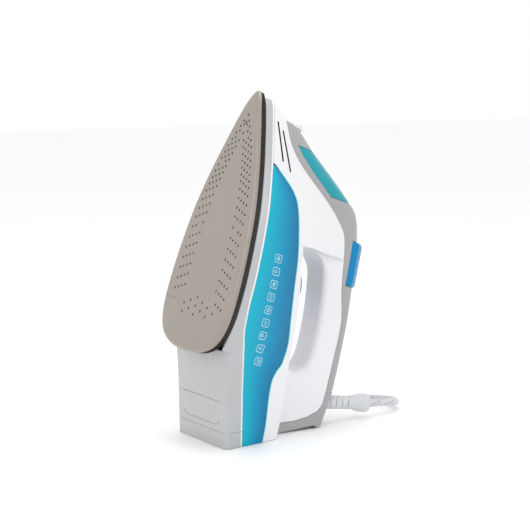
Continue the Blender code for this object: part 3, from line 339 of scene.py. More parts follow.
body_edge = smooth_table([(0, 46), (60, 46), (80, 46.8), (95, 49), (110, 53), (130, 57), (150, 57.3),
                          (180, 54.8), (215, 48.8), (250, 37.6), (285, 22.8), (303, 14.2), (312, 9.4),
                          (317.5, 4.5)])
back_line = smooth_table([(0, 157), (50, 157), (66, 158.2), (80, 160), (143, 156), (178, 152),
                          (219, 144), (235, 140), (247, 133), (252, 126.4), (268.5, 101), (286.3, 72),
                          (299, 55), (304, 46), (317.5, 21.5)])
cover_edge = smooth_table([(0, 148), (70, 148), (84.5, 147), (142, 144), (176, 134), (223, 121.4),
                           (230, 115.4), (240.3, 102.7), (275, 49.4), (288, 40), (303, 35)])
silver_edge = smooth_table([(0, 65.9), (37, 53.6), (67, 43.7), (85, 37.7), (103, 29.5), (112, 24.5),
                            (121, 20.6), (135, 18), (150, 17.3), (320, 17.3)])
panel_edge = smooth_table([(0, 84), (27, 81.5), (40, 80), (80, 74.5), (90, 77), (98, 81), (108, 81),
                           (135, 74), (164, 67.5), (186, 64.5), (219, 57), (235, 52), (243, 46.5),
                           (262.5, 18.4)])
deck = smooth_table([(0, 98), (30, 97), (80, 93), (98, 90), (200, 68), (206, 66.7)])
fullness = smooth_table([(0, 0.42), (40, 0.42), (120, 0.72), (320, 0.72)])
HANDLE_HALF = 16.0
BAND_TOP = 17.3


def side(v, s):
    """Half width of the body at height v and station s."""
    share = min(max((v - BAND_TOP) / (back_line(s) - BAND_TOP), 0.0), 0.985)
    width = body_edge(s) * (1.0 - share) ** fullness(s)
    return max(width, HANDLE_HALF) if s <= 240 else width


def both_sides(right, shared=0):
    """A ring from its right half; the last shared points lie on the middle line."""
    return right + [(-x, v, s) for x, v, s in reversed(right[:len(right) - shared])]


def spread(low, high, step):
    """Evenly spaced stations from high down to low."""
    count = max(round((high - low) / step), 1)
    return [high - (high - low) * k / count for k in range(count + 1)]


print("body half width at the heel, middle and nose:",
      [round(side(20, s), 1) for s in (60, 180, 300)])

# %% Making solids
def mesh_of(name, points, faces, where=IN_IRON, scale=MM, uv=None):
    """A mesh from points in the iron's frame, faces outwards, with an optional map per corner."""
    mesh = bpy.data.meshes.new(name)
    mesh.from_pydata([tuple(p) for p in points], [], faces)
    if uv:
        layer = mesh.uv_layers.new(name="UVMap")
        for polygon in mesh.polygons:
            for loop in polygon.loop_indices:
                layer.data[loop].uv = uv[mesh.loops[loop].vertex_index]
    mesh.transform(where @ Matrix.Scale(scale, 4))
    work = bmesh.new()
    work.from_mesh(mesh)
    bmesh.ops.remove_doubles(work, verts=work.verts, dist=1e-6)
    bmesh.ops.recalc_face_normals(work, faces=work.faces)
    work.to_mesh(mesh)
    work.free()
    return mesh


def piece(name, mesh, finish=None, angle=35):
    """Puts a mesh in the scene as a finished, smoothly shaded piece at the origin."""
    obj = bpy.data.objects.new(name, mesh)
    scene.collection.objects.link(obj)
    mesh.shade_smooth()
    mesh.set_sharp_from_angle(angle=math.radians(angle))
    if finish:
        mesh.materials.clear()
        mesh.materials.append(FINISHES[finish])
    return obj


def loft(name, rings, strips=False, **options):
    """A closed solid through rings of equal count. With strips, its caps follow a bent outline."""
    count = len(rings[0])
    faces = []
    for r in range(len(rings) - 1):
        for i in range(count):
            j = (i + 1) % count
            faces.append((r * count + i, r * count + j, (r + 1) * count + j, (r + 1) * count + i))
    for first in (0, (len(rings) - 1) * count):
        if not strips:
            faces.append(tuple(first + i for i in range(count)))
            continue
        for i in range(count // 2):
            corners = dict.fromkeys([i, i + 1, count - i - 1, (count - i) % count])
            faces.append(tuple(first + c for c in corners))
    return mesh_of(name, [p for ring in rings for p in ring], faces, **options)


def turned(name, profile, start, axis, sides=48, **options):
    """A solid of revolution: profile holds (distance along the axis, radius)."""
    axis = Vector(axis).normalized()
    out = axis.orthogonal().normalized()
    rings = [[Vector(start) + axis * distance
              + Matrix.Rotation(math.tau * i / sides, 3, axis) @ out * radius for i in range(sides)]
             for distance, radius in profile]
    return loft(name, rings, **options)


def carved(obj, cuts, finish=None, angle=35):
    """Cuts meshes away one after another; a pair (mesh, "UNION") is joined on instead."""
    for cut in cuts:
        mesh, operation = cut if isinstance(cut, tuple) else (cut, "DIFFERENCE")
        helper = bpy.data.objects.new("cutter", mesh)
        scene.collection.objects.link(helper)
        modifier = obj.modifiers.new("cut", "BOOLEAN")
        modifier.operation, modifier.solver, modifier.object = operation, "EXACT", helper
        obj = settled(obj)
        bpy.data.objects.remove(helper, do_unlink=True)
    return refinished(obj, finish, angle)


def settled(obj):
    """The object with its modifiers applied to its mesh."""
    graph = bpy.context.evaluated_depsgraph_get()
    made = bpy.data.meshes.new_from_object(obj.evaluated_get(graph), depsgraph=graph)
    obj.modifiers.clear()
    obj.data = made
    return obj


def refinished(obj, finish, angle=35):
    """Smooth shading with sharp edges, and one finish all over if it is given."""
    obj.data.shade_smooth()
    obj.data.set_sharp_from_angle(angle=math.radians(angle))
    if finish:
        obj.data.materials.clear()
        obj.data.materials.append(FINISHES[finish])
    return obj


def soften(obj, width, segments=3, angle=35):
    """Rounds the sharp edges of a simple solid."""
    modifier = obj.modifiers.new("rounded edges", "BEVEL")
    modifier.width, modifier.segments = width, segments
    modifier.limit_method, modifier.angle_limit = "ANGLE", math.radians(angle)
    modifier.harden_normals = False
    return settled(obj)


def prism(name, profile, half, **options):
    """A side-view shape of (v, s) points that stands out to both sides by half."""
    return loft(name, [[(x, v, s) for v, s in profile] for x in (-half, half)], **options)


FLOOR = mesh_of("floor", [(x, y, z) for z in (-0.2, 0.0004) for x, y in
                          ((-0.3, -0.3), (0.3, -0.3), (0.3, 0.4), (-0.3, 0.4))],
                BOX_FACES, **STAND_METRES)
print("helpers ready")

# %% [markdown]
# ## The cord
# The mains lead leaves the iron through a ribbed guard, drops onto the table, swings round in an
# easy half turn and is put away in a tied coil behind the heel, with the plug lying on it. Its
# sleeve is 7 mm woven cotton, its route and the coil's turns follow from that diameter: turns lie
# a diameter apart, and the upper layer rests in the valleys of the lower. A mesh tube, rather
# than a curve, lets us map the weave along its real length.

# %% The cord's route
CORD_DIAMETER = 0.007
GUARD_CENTRE = Vector((0.0, 0.0915, 0.0208))
GUARD_WAY = Vector((0.0, math.cos(math.radians(7.5)), -math.sin(math.radians(7.5))))
GUARD_LENGTH = 0.060
CORD_BEND = 0.0285
LIE = CORD_DIAMETER / 2 + 0.0003
cord_exit = GUARD_CENTRE + GUARD_WAY * (GUARD_LENGTH + 0.0003)
turn_y = cord_exit.y + 0.0187
COIL = Vector((-2 * CORD_BEND - 0.050, GUARD_CENTRE.y + GUARD_WAY.y * GUARD_LENGTH - 0.039, 0.0))

lead = [cord_exit, cord_exit + GUARD_WAY * 0.009]
for k in range(7):
    angle = math.pi * k / 6
    drop = LIE + 0.0078 * max(1.0 - angle / 2.4, 0.0) ** 1.5
    lead.append(Vector((CORD_BEND * (math.cos(angle) - 1), turn_y + CORD_BEND * math.sin(angle), drop)))
lead.append(Vector((-2 * CORD_BEND, turn_y - 0.012, LIE)))
lead.append(Vector((-2 * CORD_BEND, COIL.y + 0.016, LIE)))

TURNS = [0.050, 0.043, 0.036, 0.029, 0.0325, 0.0395, 0.0465]
PER_TURN = 36
for step in range(PER_TURN * 6 + PER_TURN * 3 // 4 + 1):
    turn, part = divmod(step / PER_TURN, 1.0)
    shift = min(max((part - 0.75) / 0.18, 0.0), 1.0)
    shift = shift * shift * (3 - 2 * shift)
    here, following = TURNS[int(turn)], TURNS[min(int(turn) + 1, 6)]
    radius = here + (following - here) * shift
    layer = 0.0 if turn < 3 else shift if turn == 3 else 1.0
    hump = 0.0009 * math.sin(math.pi * shift) if turn > 3 else 0.0
    angle = -math.tau * part
    lead.append(COIL + Vector((radius * math.cos(angle), radius * math.sin(angle),
                               LIE + 0.0061 * layer + hump)))
PLUG_RISE = 0.0220
for k in range(1, 8):
    turned_by = math.radians(110) * k / 7
    lead.append(COIL + Vector((CORD_BEND * math.sin(turned_by),
                               0.018 + CORD_BEND * math.cos(turned_by),
                               LIE + 0.0061 + PLUG_RISE * k / 7)))


def eased(points, spacing):
    """Even points along a smooth curve through the given ones."""
    padded = [2 * points[0] - points[1]] + points + [2 * points[-1] - points[-2]]
    fine = []
    for a, b, c, d in zip(padded, padded[1:], padded[2:], padded[3:]):
        for k in range(8):
            t = k / 8
            fine.append(0.5 * (2 * b + (c - a) * t + (2 * a - 5 * b + 4 * c - d) * t * t
                               + (3 * b - a - 3 * c + d) * t ** 3))
    fine.append(points[-1])
    even, walked = [fine[0]], 0.0
    for p, q in zip(fine, fine[1:]):
        run = (q - p).length
        while walked + run >= spacing and run > 0:
            p = p + (q - p) * ((spacing - walked) / run)
            run, walked = (q - p).length, 0.0
            even.append(p)
        walked += run
    return even


cord_line = eased(lead, 0.0024)


# %% The woven tube
def tube(name, line, radius, sides=14, lay=0.0045):
    """A round tube along a line, mapped once round and every lay along its length."""
    normal = Vector((0, 0, 1))
    points, coords, run = [], [], 0.0
    for k, p in enumerate(line):
        ahead = (line[min(k + 1, len(line) - 1)] - line[max(k - 1, 0)]).normalized()
        normal = (normal - ahead * normal.dot(ahead)).normalized()
        if k:
            run += (p - line[k - 1]).length
        for i in range(sides + 1):
            turn = math.tau * i / sides
            points.append(p + (normal * math.cos(turn) + ahead.cross(normal) * math.sin(turn)) * radius)
            coords.append((i / sides, run / lay))
    row = sides + 1
    faces = [(r * row + i, r * row + i + 1, (r + 1) * row + i + 1, (r + 1) * row + i)
             for r in range(len(line) - 1) for i in range(sides)]
    for first in (0, (len(line) - 1) * row):
        faces.append(tuple(first + i for i in range(sides)))
    return mesh_of(name, points, faces, where=Matrix.Identity(4), scale=1.0, uv=coords)


cord = piece("braided_cord", tube("braided_cord", cord_line, CORD_DIAMETER / 2), "cord braid", 80)

# %% [markdown]
# The plug is a round two-pin one with a waist to grip. It is turned from its profile, and its
# pins stay as the frame has them. A short strap holds the coil together, a closed band drawn
# round the section of all its turns.

# %% Plug, tie and guard
plug_base = COIL + Vector((0.0268, 0.0083, LIE + 0.0061 + PLUG_RISE))
plug_aim = Vector((-0.35, -1.0, 0.0)).normalized()
plug_profile = [(0, 0.0046), (0.001, 0.0052)]
plug_profile += [(0.001 + 0.0012 * k, 0.0056 - 0.0006 * (k % 2) + 0.00006 * k) for k in range(1, 9)]
plug_profile += [(0.0125, 0.0068), (0.0145, 0.0105), (0.017, 0.0138), (0.021, 0.0152), (0.025, 0.0160),
                 (0.030, 0.0172), (0.036, 0.0180), (0.0395, 0.0182), (0.0405, 0.0176), (0.0410, 0.0182),
                 (0.0434, 0.0181), (0.0440, 0.0174)]
plug = piece("plug_shell", turned("plug_shell", plug_profile, plug_base, plug_aim,
                                  **WORLD_METRES), "white rubber", 30)


def band_ring(x_half, low, high, radius, place, tangent):
    """A rounded rectangle in the plane across the coil's section."""
    points = []
    radial = Vector(place - COIL).normalized()
    for k in range(32):
        turn = math.tau * k / 32
        x = math.copysign(abs(math.cos(turn)) ** 0.45, math.cos(turn)) * x_half
        z = math.copysign(abs(math.sin(turn)) ** 0.55, math.sin(turn)) * (high - low) / 2
        points.append(place + radial * x + Vector((0, 0, (low + high) / 2 + z)) + tangent * radius)
    return points


tie_place = COIL + Vector((-0.0395, 0.0, 0.0))
tie_way = Vector((0.0, 1.0, 0.0))
tie_rings = [band_ring(half, low, high, offset, tie_place, tie_way) for half, low, high, offset in
             ((0.0152, 0.0000, 0.0146, -0.004), (0.0158, 0.0000, 0.0150, -0.0034),
              (0.0158, 0.0000, 0.0150, 0.0034), (0.0152, 0.0000, 0.0146, 0.004),
              (0.0145, 0.0002, 0.0138, 0.0036), (0.0145, 0.0002, 0.0138, -0.0036))]
tie_faces = [(r * 32 + i, r * 32 + (i + 1) % 32, (r + 1) % 6 * 32 + (i + 1) % 32, (r + 1) % 6 * 32 + i)
             for r in range(6) for i in range(32)]
tie = piece("coil_tie", mesh_of("coil_tie", [p for ring in tie_rings for p in ring], tie_faces,
                                **WORLD_METRES), "tie strap", 40)

guard_profile = [(-0.0082 * math.cos(a), 0.0082 * math.sin(a))
                 for a in [math.pi * k / 24 for k in range(4, 17)]]
guard_profile += [(0.0058, 0.0058), (0.0075, 0.0056), (0.0100, 0.0058), (0.0120, 0.0062), (0.0300, 0.0062),
                  (0.0420, 0.0062), (0.0440, 0.0068), (0.0470, 0.0078), (0.0520, 0.0086),
                  (0.0570, 0.0088), (0.0590, 0.0080), (0.0600, 0.0064)]
guard_mesh = turned("guard", guard_profile, GUARD_CENTRE, GUARD_WAY, 48, **WORLD_METRES)


def wedge(place, out, depth, width, half):
    """A V cutter that points in towards the guard's axis from one side."""
    across_way = GUARD_WAY.cross(out)
    tip, mouth = place + out * depth, place + out * 0.012
    corners = [tip, mouth + GUARD_WAY * width, mouth - GUARD_WAY * width]
    return [[c + across_way * h for c in corners] for h in (-half, half)]


slit_work = bmesh.new()
for k in range(8):
    out = (Vector((1, 0, 0)), GUARD_WAY.cross(Vector((1, 0, 0))))[k % 2]
    for hand in (1, -1):
        rings = wedge(GUARD_CENTRE + GUARD_WAY * (0.0150 + 0.0033 * k), out * hand, 0.0036, 0.0019, 0.009)
        corners = [slit_work.verts.new(p) for ring in rings for p in ring]
        for face in ((0, 1, 2), (3, 5, 4), (0, 3, 4, 1), (1, 4, 5, 2), (2, 5, 3, 0)):
            slit_work.faces.new([corners[i] for i in face])
bmesh.ops.recalc_face_normals(slit_work, faces=slit_work.faces)
slit_mesh = bpy.data.meshes.new("slits")
slit_work.to_mesh(slit_mesh)
slit_work.free()
guard = carved(piece("ribbed_guard", guard_mesh), [slit_mesh], "white rubber", 30)
print("guard faces", len(guard.data.polygons), "plug faces", len(plug.data.polygons))

# %% [markdown]
# ## The soleplate
# The sole is a ceramic-coated plate with a pointed tip, a rounded bevel all round and rows of
# steam holes in chevrons. Its outline is one smooth closed curve. The holes repeat over a hundred
# times, so a Geometry Nodes tree puts a small drafted cone at each centre and takes them all
# from the plate in one Boolean.

# %% The sole's outline
SOLE_EDGE = [(86.6, 0.0), (87.2, 14), (89.5, 28), (95, 41), (103, 49.5), (116, 55.3), (132, 57.5),
             (155, 57.2), (182, 54.6), (215, 48.8), (250, 37.6), (285, 22.8), (303, 14.2),
             (315, 7.6), (320.2, 3.6), (322, 0.0)]


def round_outline(points, per_span=6):
    """A smooth curve through the right side of a symmetrical outline, with its normals."""
    mirrored = [(points[1][0], -points[1][1])] + points + [(points[-2][0], -points[-2][1])]
    path = []
    for a, b, c, d in zip(mirrored, mirrored[1:], mirrored[2:], mirrored[3:]):
        for k in range(per_span):
            t = k / per_span
            path.append(tuple(0.5 * (2 * q + (r - p) * t + (2 * p - 5 * q + 4 * r - e) * t * t
                                     + (3 * q - p - 3 * r + e) * t ** 3)
                              for p, q, r, e in zip(a, b, c, d)))
    path.append(points[-1])
    outline = []
    for k, (s, width) in enumerate(path):
        s0, w0 = path[k - 1] if k else (s, -path[1][1])
        s1, w1 = path[k + 1] if k + 1 < len(path) else (s, -path[-2][1])
        out = Vector((s1 - s0, w0 - w1)).normalized()
        outline.append((max(width, 0.0), s, out.x, out.y))
    return outline


SOLE_OUTLINE = round_outline(SOLE_EDGE)


def sole_ring(inset, height, lift=1.0):
    """The outline moved in, at a height from the sole face; its tip curls up a little."""
    right = []
    for x, s, out_x, out_s in SOLE_OUTLINE:
        z = s - out_s * inset
        rise = 1.8 * lift * max(0.0, (z - 300) / 22) ** 2
        right.append((max(x - out_x * inset, 0.0), height + rise, z))
    right[0], right[-1] = (0.0, *right[0][1:]), (0.0, *right[-1][1:])
    return right[:1] + both_sides(right[1:], 1)


plate = loft("plate", [sole_ring(4.2, 0.0), sole_ring(3.4, 0.03), sole_ring(2.6, 0.16),
                       sole_ring(1.7, 0.48), sole_ring(0.9, 0.98), sole_ring(0.3, 1.7),
                       sole_ring(0.0, 2.5), sole_ring(0.15, 3.3), sole_ring(0.6, 4.0)], strips=True)


# %% Steam hole centres
def hole_row_end(s):
    """Half width at which a row of steam holes starts, in from the sole's edge."""
    inset = 10.2 if s > 225 else 10.2 + (225 - s) * 0.055
    edge = smooth_sole(s)
    return edge - min(inset, 15.2) - max(0.0, s - 272) * 0.22


smooth_sole = smooth_table([(s, w) for s, w in SOLE_EDGE])
centres = [(0, 298.7), (0, 292.1), (4.2, 293.3), (0, 282.0)]
row = 288.2
while row > 127:
    outer = hole_row_end(row)
    centres += [(outer - 5.15 * k, row + 1.75 * k) for k in range(4) if outer - 5.15 * k > 1.9]
    row -= 6.0 if row > 236 else 6.7 if row > 230 else 8.1 if row > 204 else 9.4
for k, columns in enumerate((4, 3, 1)):
    centres += [(10.1 * column, 134.0 - 7.7 * k - 3.6 * column) for column in range(columns)]
centres += [(-x, s) for x, s in centres if x > 0]
print(len(centres), "steam holes")


# %% Geometry Nodes helpers
class Tree:
    """A Geometry Nodes tree with named sizes, which ends in Realize Instances and Set Material."""

    def __init__(self, name, sizes):
        self.group = bpy.data.node_groups.new(name, "GeometryNodeTree")
        face = self.group.interface
        face.new_socket("Geometry", in_out="OUTPUT", socket_type="NodeSocketGeometry")
        face.new_socket("Geometry", in_out="INPUT", socket_type="NodeSocketGeometry")
        self.identifiers = {}
        for size, value in sizes.items():
            socket = face.new_socket(size, in_out="INPUT", socket_type="NodeSocketFloat")
            self.identifiers[size] = (socket.identifier, value)
        self.start = self.group.nodes.new("NodeGroupInput")
        self.geometry = self.start.outputs["Geometry"]

    def size(self, name):
        return self.start.outputs[name]

    def add(self, kind, inputs=(), **settings):
        return put(self.group, "GeometryNode" + kind, inputs, **settings)

    def combine(self, x=0.0, y=0.0, z=0.0):
        return put(self.group, "ShaderNodeCombineXYZ", {"X": x, "Y": y, "Z": z}).outputs[0]

    def along_curve(self, axis, pivot):
        """A rotation that turns one axis of an instance along the curve it stands on."""
        return put(self.group, "FunctionNodeAlignRotationToVector",
                   {"Vector": self.add("InputTangent").outputs[0]}, axis=axis, pivot_axis=pivot).outputs[0]

    def finish(self, geometry, finish):
        real = self.add("RealizeInstances", {"Geometry": geometry})
        skin = self.add("SetMaterial", {"Geometry": real.outputs[0], "Material": FINISHES[finish]})
        end = self.group.nodes.new("NodeGroupOutput")
        self.group.links.new(skin.outputs[0], end.inputs["Geometry"])

    def grown(self, name, mesh, angle=35):
        """Runs the tree on a mesh and returns the result as a plain piece."""
        obj = bpy.data.objects.new(name, mesh)
        scene.collection.objects.link(obj)
        modifier = obj.modifiers.new("grow", "NODES")
        modifier.node_group = self.group
        for identifier, value in self.identifiers.values():
            modifier[identifier] = value
        return refinished(settled(obj), None, angle)


def point_cloud(name, points, scale=MM):
    """A mesh of loose points, for a tree to stand things on."""
    mesh = bpy.data.meshes.new(name)
    mesh.from_pydata([tuple(Vector(p) * scale) for p in points], [], [])
    return mesh


# %% Drilling the plate
plate.transform(IN_IRON.inverted())
blank = bpy.data.objects.new("plate_blank", plate)
scene.collection.objects.link(blank)
drill = Tree("steam holes", {"Mouth": 0.00125, "Throat": 0.0007, "Depth": 0.0060})
bit = drill.add("MeshCone", {"Vertices": 12, "Radius Top": drill.size("Throat"),
                             "Radius Bottom": drill.size("Mouth"), "Depth": drill.size("Depth")})
turned_bit = drill.add("Transform", {"Geometry": bit.outputs["Mesh"],
                                     "Rotation": (-math.pi / 2, 0.0, 0.0)})
holes = drill.add("InstanceOnPoints", {"Points": drill.geometry, "Instance": turned_bit.outputs[0]})
bits = drill.add("RealizeInstances", {"Geometry": holes.outputs[0]})
whole = drill.add("ObjectInfo", {"Object": blank}, transform_space="ORIGINAL")
drilled = drill.add("MeshBoolean", operation="DIFFERENCE")
drill.group.links.new(whole.outputs["Geometry"], drilled.inputs["Mesh 1"])
drill.group.links.new(bits.outputs[0], drilled.inputs["Mesh 2"])
drill.finish(drilled.outputs["Mesh"], "sole ceramic")
sole = drill.grown("ceramic_sole", point_cloud("hole centres", [(x, -0.2, s) for x, s in centres]), 30)
bpy.data.objects.remove(blank, do_unlink=True)
for polygon in sole.data.polygons:
    polygon.use_smooth = polygon.normal.y > -0.998
sole.data.transform(IN_IRON)
print("sole faces", len(sole.data.polygons))

# %% [markdown]
# A black resin skirt keeps the hot plate away from the housing. On the real iron it is a low wall
# with fine upright ribs that catch the light, so the tree below walks round the outline and
# stands one rib at each step, turned to face outwards.

# %% Ribbed skirt
skirt_body = loft("skirt", [sole_ring(1.3, 4.3), sole_ring(1.3, 8.7, 0.0)], strips=True)
skirt_hole = loft("skirt hole", [sole_ring(6.0, 3.0, 0.0), sole_ring(6.0, 12.0, 0.0)], strips=True)
skirt = carved(piece("heat_wall", skirt_body), [skirt_hole], "black resin")
path = sole_ring(1.35, 6.55, 0.0)
path_mesh = bpy.data.meshes.new("skirt path")
path_mesh.from_pydata([tuple(Vector(p) * MM) for p in path], [(i, (i + 1) % len(path))
                                                             for i in range(len(path))], [])
ribs = Tree("skirt ribs", {"Pitch": 0.0024, "Width": 0.0009, "Height": 0.0040, "Depth": 0.0013})
route = ribs.add("MeshToCurve", {"Mesh": ribs.geometry})
steps = ribs.add("ResampleCurve", {"Curve": route.outputs[0], "Length": ribs.size("Pitch")},
                 mode="LENGTH")
rib = ribs.add("MeshCube", {"Size": ribs.combine(ribs.size("Depth"), ribs.size("Height"),
                                                  ribs.size("Width"))})
stood = ribs.add("InstanceOnPoints", {"Points": steps.outputs[0], "Instance": rib.outputs["Mesh"],
                                      "Rotation": ribs.along_curve("Z", "Y")})
ribs.finish(stood.outputs[0], "black resin")
skirt_ribs = ribs.grown("heat_wall_ribs", path_mesh, 20)
skirt_ribs.data.transform(IN_IRON)
print("skirt ribs faces", len(skirt_ribs.data.polygons))

# %% [markdown]
# ## Body shells
# Above the sole come three moulded layers: a satin silver band that grows into the heel block,
# glossy side panels, and the white housing that carries the handle. All three share one rule for
# their half width, so they are lofted from the same cross sections, close together, and meet
# flush with fine seams between them. The band's lower edge is rounded, and its upper edge is a
# narrow white rim, which is a second finish on the same moulding.

# %% Cross sections
def body_rings(stations, low, high, inset, count=12):
    """Cross rings of the body between two heights, its wall moved in by inset."""
    rings = []
    for s in stations:
        bottom, top = low(s), high(s)
        right = []
        for k in range(count):
            v = bottom + (top - bottom) * k / (count - 1)
            right.append((max(side(v, s) - inset, 0.6), v, s))
        rings.append(both_sides(right))
    return rings


def heel_front(s):
    """The band's base, or the heel block's upright front face behind the sole."""
    return (45.0 - s * math.sin(LEAN)) / math.cos(LEAN) if s < 95.2 else 9.0


NOSE_TO_HEEL = spread(96, 317, 3.2) + [95.4, 95.0] + spread(8, 92, 6.0)
WHITE_RIM = 1.6
band_rings = []
for s in NOSE_TO_HEEL:
    low, high = heel_front(s), silver_edge(s)
    radius = min(4.5 if s < 95.2 else 1.2, (high - low) * 0.4)
    depths = [radius * (1 - math.cos(math.pi / 12 * k)) for k in range(7)]
    depths += [radius + (high - low - radius - WHITE_RIM) * k / 3 for k in range(1, 4)] + [high - low]
    right = []
    for d in depths:
        tuck = radius - math.sqrt(max(radius ** 2 - max(radius - d, 0.0) ** 2, 0.0))
        right.append((side(low + d, s) - tuck, low + d, s))
    band_rings.append(both_sides(right))
band = loft("band", band_rings)
band_hollow = body_rings([s for s in NOSE_TO_HEEL if s < 314] + [-20],
                         lambda s: -2 if s > 95 else heel_front(s) + 2.6,
                         lambda s: silver_edge(s) + 4, 2.4, 5)

# %% [markdown]
# The heel block carries the marks of its mould: a parting line all round 14 mm above the table,
# and a shallow groove across its front. Both are cut, so they hold a real shadow.

# %% Heel block details
line_slab = loft("line slab", [[(x, y, z) for x, y in ((-0.09, 0.03), (0.09, 0.03), (0.09, 0.13),
                                                       (-0.09, 0.13))] for z in (0.01370, 0.01415)],
                 **STAND_METRES)
line_core = loft("line core", body_rings(spread(-30, 92, 6.0), lambda s: heel_front(s) + 0.45,
                                         lambda s: 110.0, 0.45, 8))
slab = carved(piece("slab", line_slab), [line_core])
line_mesh = slab.data
bpy.data.objects.remove(slab, do_unlink=True)


def front_bar(x0, z0, x1, z1, half, depth):
    """A short bar lying in the heel block's front face, from one point of it to another."""
    way = Vector((x1 - x0, 0, z1 - z0)).normalized()
    up_way = Vector((-way.z, 0, way.x)) * half
    corners = [Vector((x0, 0, z0)) - up_way, Vector((x1, 0, z1)) - up_way,
               Vector((x1, 0, z1)) + up_way, Vector((x0, 0, z0)) + up_way]
    return loft("bar", [[(c.x, y, c.z) for c in corners] for y in (0.0445, 0.045 + depth)],
                **STAND_METRES)


band_piece = carved(piece("silver_band", band),
                    [loft("band hollow", band_hollow), FLOOR, line_mesh,
                     front_bar(-0.034, 0.0405, 0.034, 0.0405, 0.00035, 0.0006)], "silver paint", 30)
lip_points = [(-0.031, 0.0235), (-0.026, 0.0195), (0.026, 0.0195), (0.031, 0.0235)]
for (x0, z0), (x1, z1) in zip(lip_points, lip_points[1:]):
    band_piece = carved(band_piece, [front_bar(x0, z0, x1, z1, 0.0003, 0.0005)], "silver paint", 30)


def repainted(obj, finish, chosen):
    """Gives a second finish to the faces that a rule picks by their centre and outward x."""
    obj.data.materials.append(FINISHES[finish])
    to_iron = IN_IRON.inverted()
    for polygon in obj.data.polygons:
        if chosen(to_iron @ polygon.center / MM, abs(polygon.normal.x)):
            polygon.material_index = 1


repainted(band_piece, "white plastic",
          lambda here, out: here.y > silver_edge(here.z) - WHITE_RIM and out > 0.1)
print("silver band faces", len(band_piece.data.polygons))

# %% [markdown]
# ## Side panels
# Each panel is a glossy inlay 2 mm thick. Its map runs from 0 at the silver band to 1 at its free
# edge, which is what the blue finish follows. A pale bead runs round the free edge, and the panel
# bears a line of nine small printed care signs, drawn as fine closed ribbons that follow the
# surface. The signs are generic shapes, and no words are printed.

# %% Panels
PANEL_FRONT = 260.5
PANEL_STATIONS = spread(8, PANEL_FRONT, 3.0)
PANEL_SECTION = 12


def panel_top(s):
    """The panel's free edge, kept above the silver band."""
    return max(panel_edge(s), silver_edge(s) + 1.2)


def panel_mesh(hand):
    """One side panel, mapped along its length and from its lower edge to its free edge."""
    rings, coords = [], []
    for s in PANEL_STATIONS:
        low, high = silver_edge(s) + 0.45, panel_top(s) - 0.1
        outer, inner, marks = [], [], []
        for k in range(PANEL_SECTION):
            share = k / (PANEL_SECTION - 1)
            v = low + (high - low) * share
            ease = 0.45 * max(0.0, 1 - min(v - low, high - v) / 1.3) ** 2
            ends = 0.45 * max(0.0, 1 - (PANEL_FRONT - s) / 3.0) ** 2
            outer.append((hand * (side(v, s) + 0.05 - max(ease, ends)), v, s))
            inner.append((hand * (side(v, s) - 2.0), v, s))
            marks.append((s / 260.0, share))
        rings.append(outer + inner[::-1])
        coords += marks + marks[::-1]
    return loft(f"panel {hand}", rings, uv=coords)


def surface_point(hand, v, s, proud=0.0):
    """A point on the panel's face, and its outward direction, at height v and station s."""
    here = Vector((side(v, s), v, s))
    up_way = Vector((side(v + 0.5, s), v + 0.5, s)) - here
    on_way = Vector((side(v, s + 0.5), v, s + 0.5)) - here
    out = on_way.cross(up_way).normalized()
    out = out if out.x > 0 else -out
    spot = here + out * proud
    return Vector((hand * spot.x, spot.y, spot.z)), Vector((hand * out.x, out.y, out.z))


def ribbon(path, hand, width=0.34, low=0.02, high=0.13):
    """A thin closed strip on the panel along a path of (v, s) points; it closes on itself."""
    points, faces, count = [], [], len(path)
    closed = (Vector(path[0]) - Vector(path[-1])).length < 0.01
    path = path[:-1] if closed else path
    count = len(path)
    for k, (v, s) in enumerate(path):
        before = path[k - 1] if k or closed else path[k]
        after = path[(k + 1) % count] if k < count - 1 or closed else path[k]
        way = Vector((after[0] - before[0], after[1] - before[1])).normalized()
        normal = Vector((-way.y, way.x)) * width / 2
        for hand_side, proud in ((1, low), (1, high), (-1, high), (-1, low)):
            spot, _ = surface_point(hand, v + normal.x * hand_side, s + normal.y * hand_side, 0.05 + proud)
            points.append(spot)
    for k in range(count if closed else count - 1):
        a, b = k * 4, (k + 1) % count * 4
        faces += [(a + i, a + (i + 1) % 4, b + (i + 1) % 4, b + i) for i in range(4)]
    if not closed:
        faces += [(0, 1, 2, 3), tuple((count - 1) * 4 + i for i in range(4))]
    return points, faces


# %% Care signs
def rounded_square(half, corner):
    """The frame of a care sign."""
    path = []
    for k in range(4):
        centre = [(1, 1), (-1, 1), (-1, -1), (1, -1)][k]
        for step in range(5):
            turn = math.pi / 2 * (k + step / 4)
            path.append((centre[0] * (half - corner) + corner * math.cos(turn),
                         centre[1] * (half - corner) + corner * math.sin(turn)))
    return path + path[:1]


def circle(radius, y=0.0, x=0.0, steps=16):
    return [(y + radius * math.cos(math.tau * k / steps), x + radius * math.sin(math.tau * k / steps))
            for k in range(steps)] + [(y + radius, x)]


def wave(y, length=4.4, height=0.5):
    return [(y + height * math.sin(math.tau * k / 8), length * (k / 12 - 0.5)) for k in range(13)]


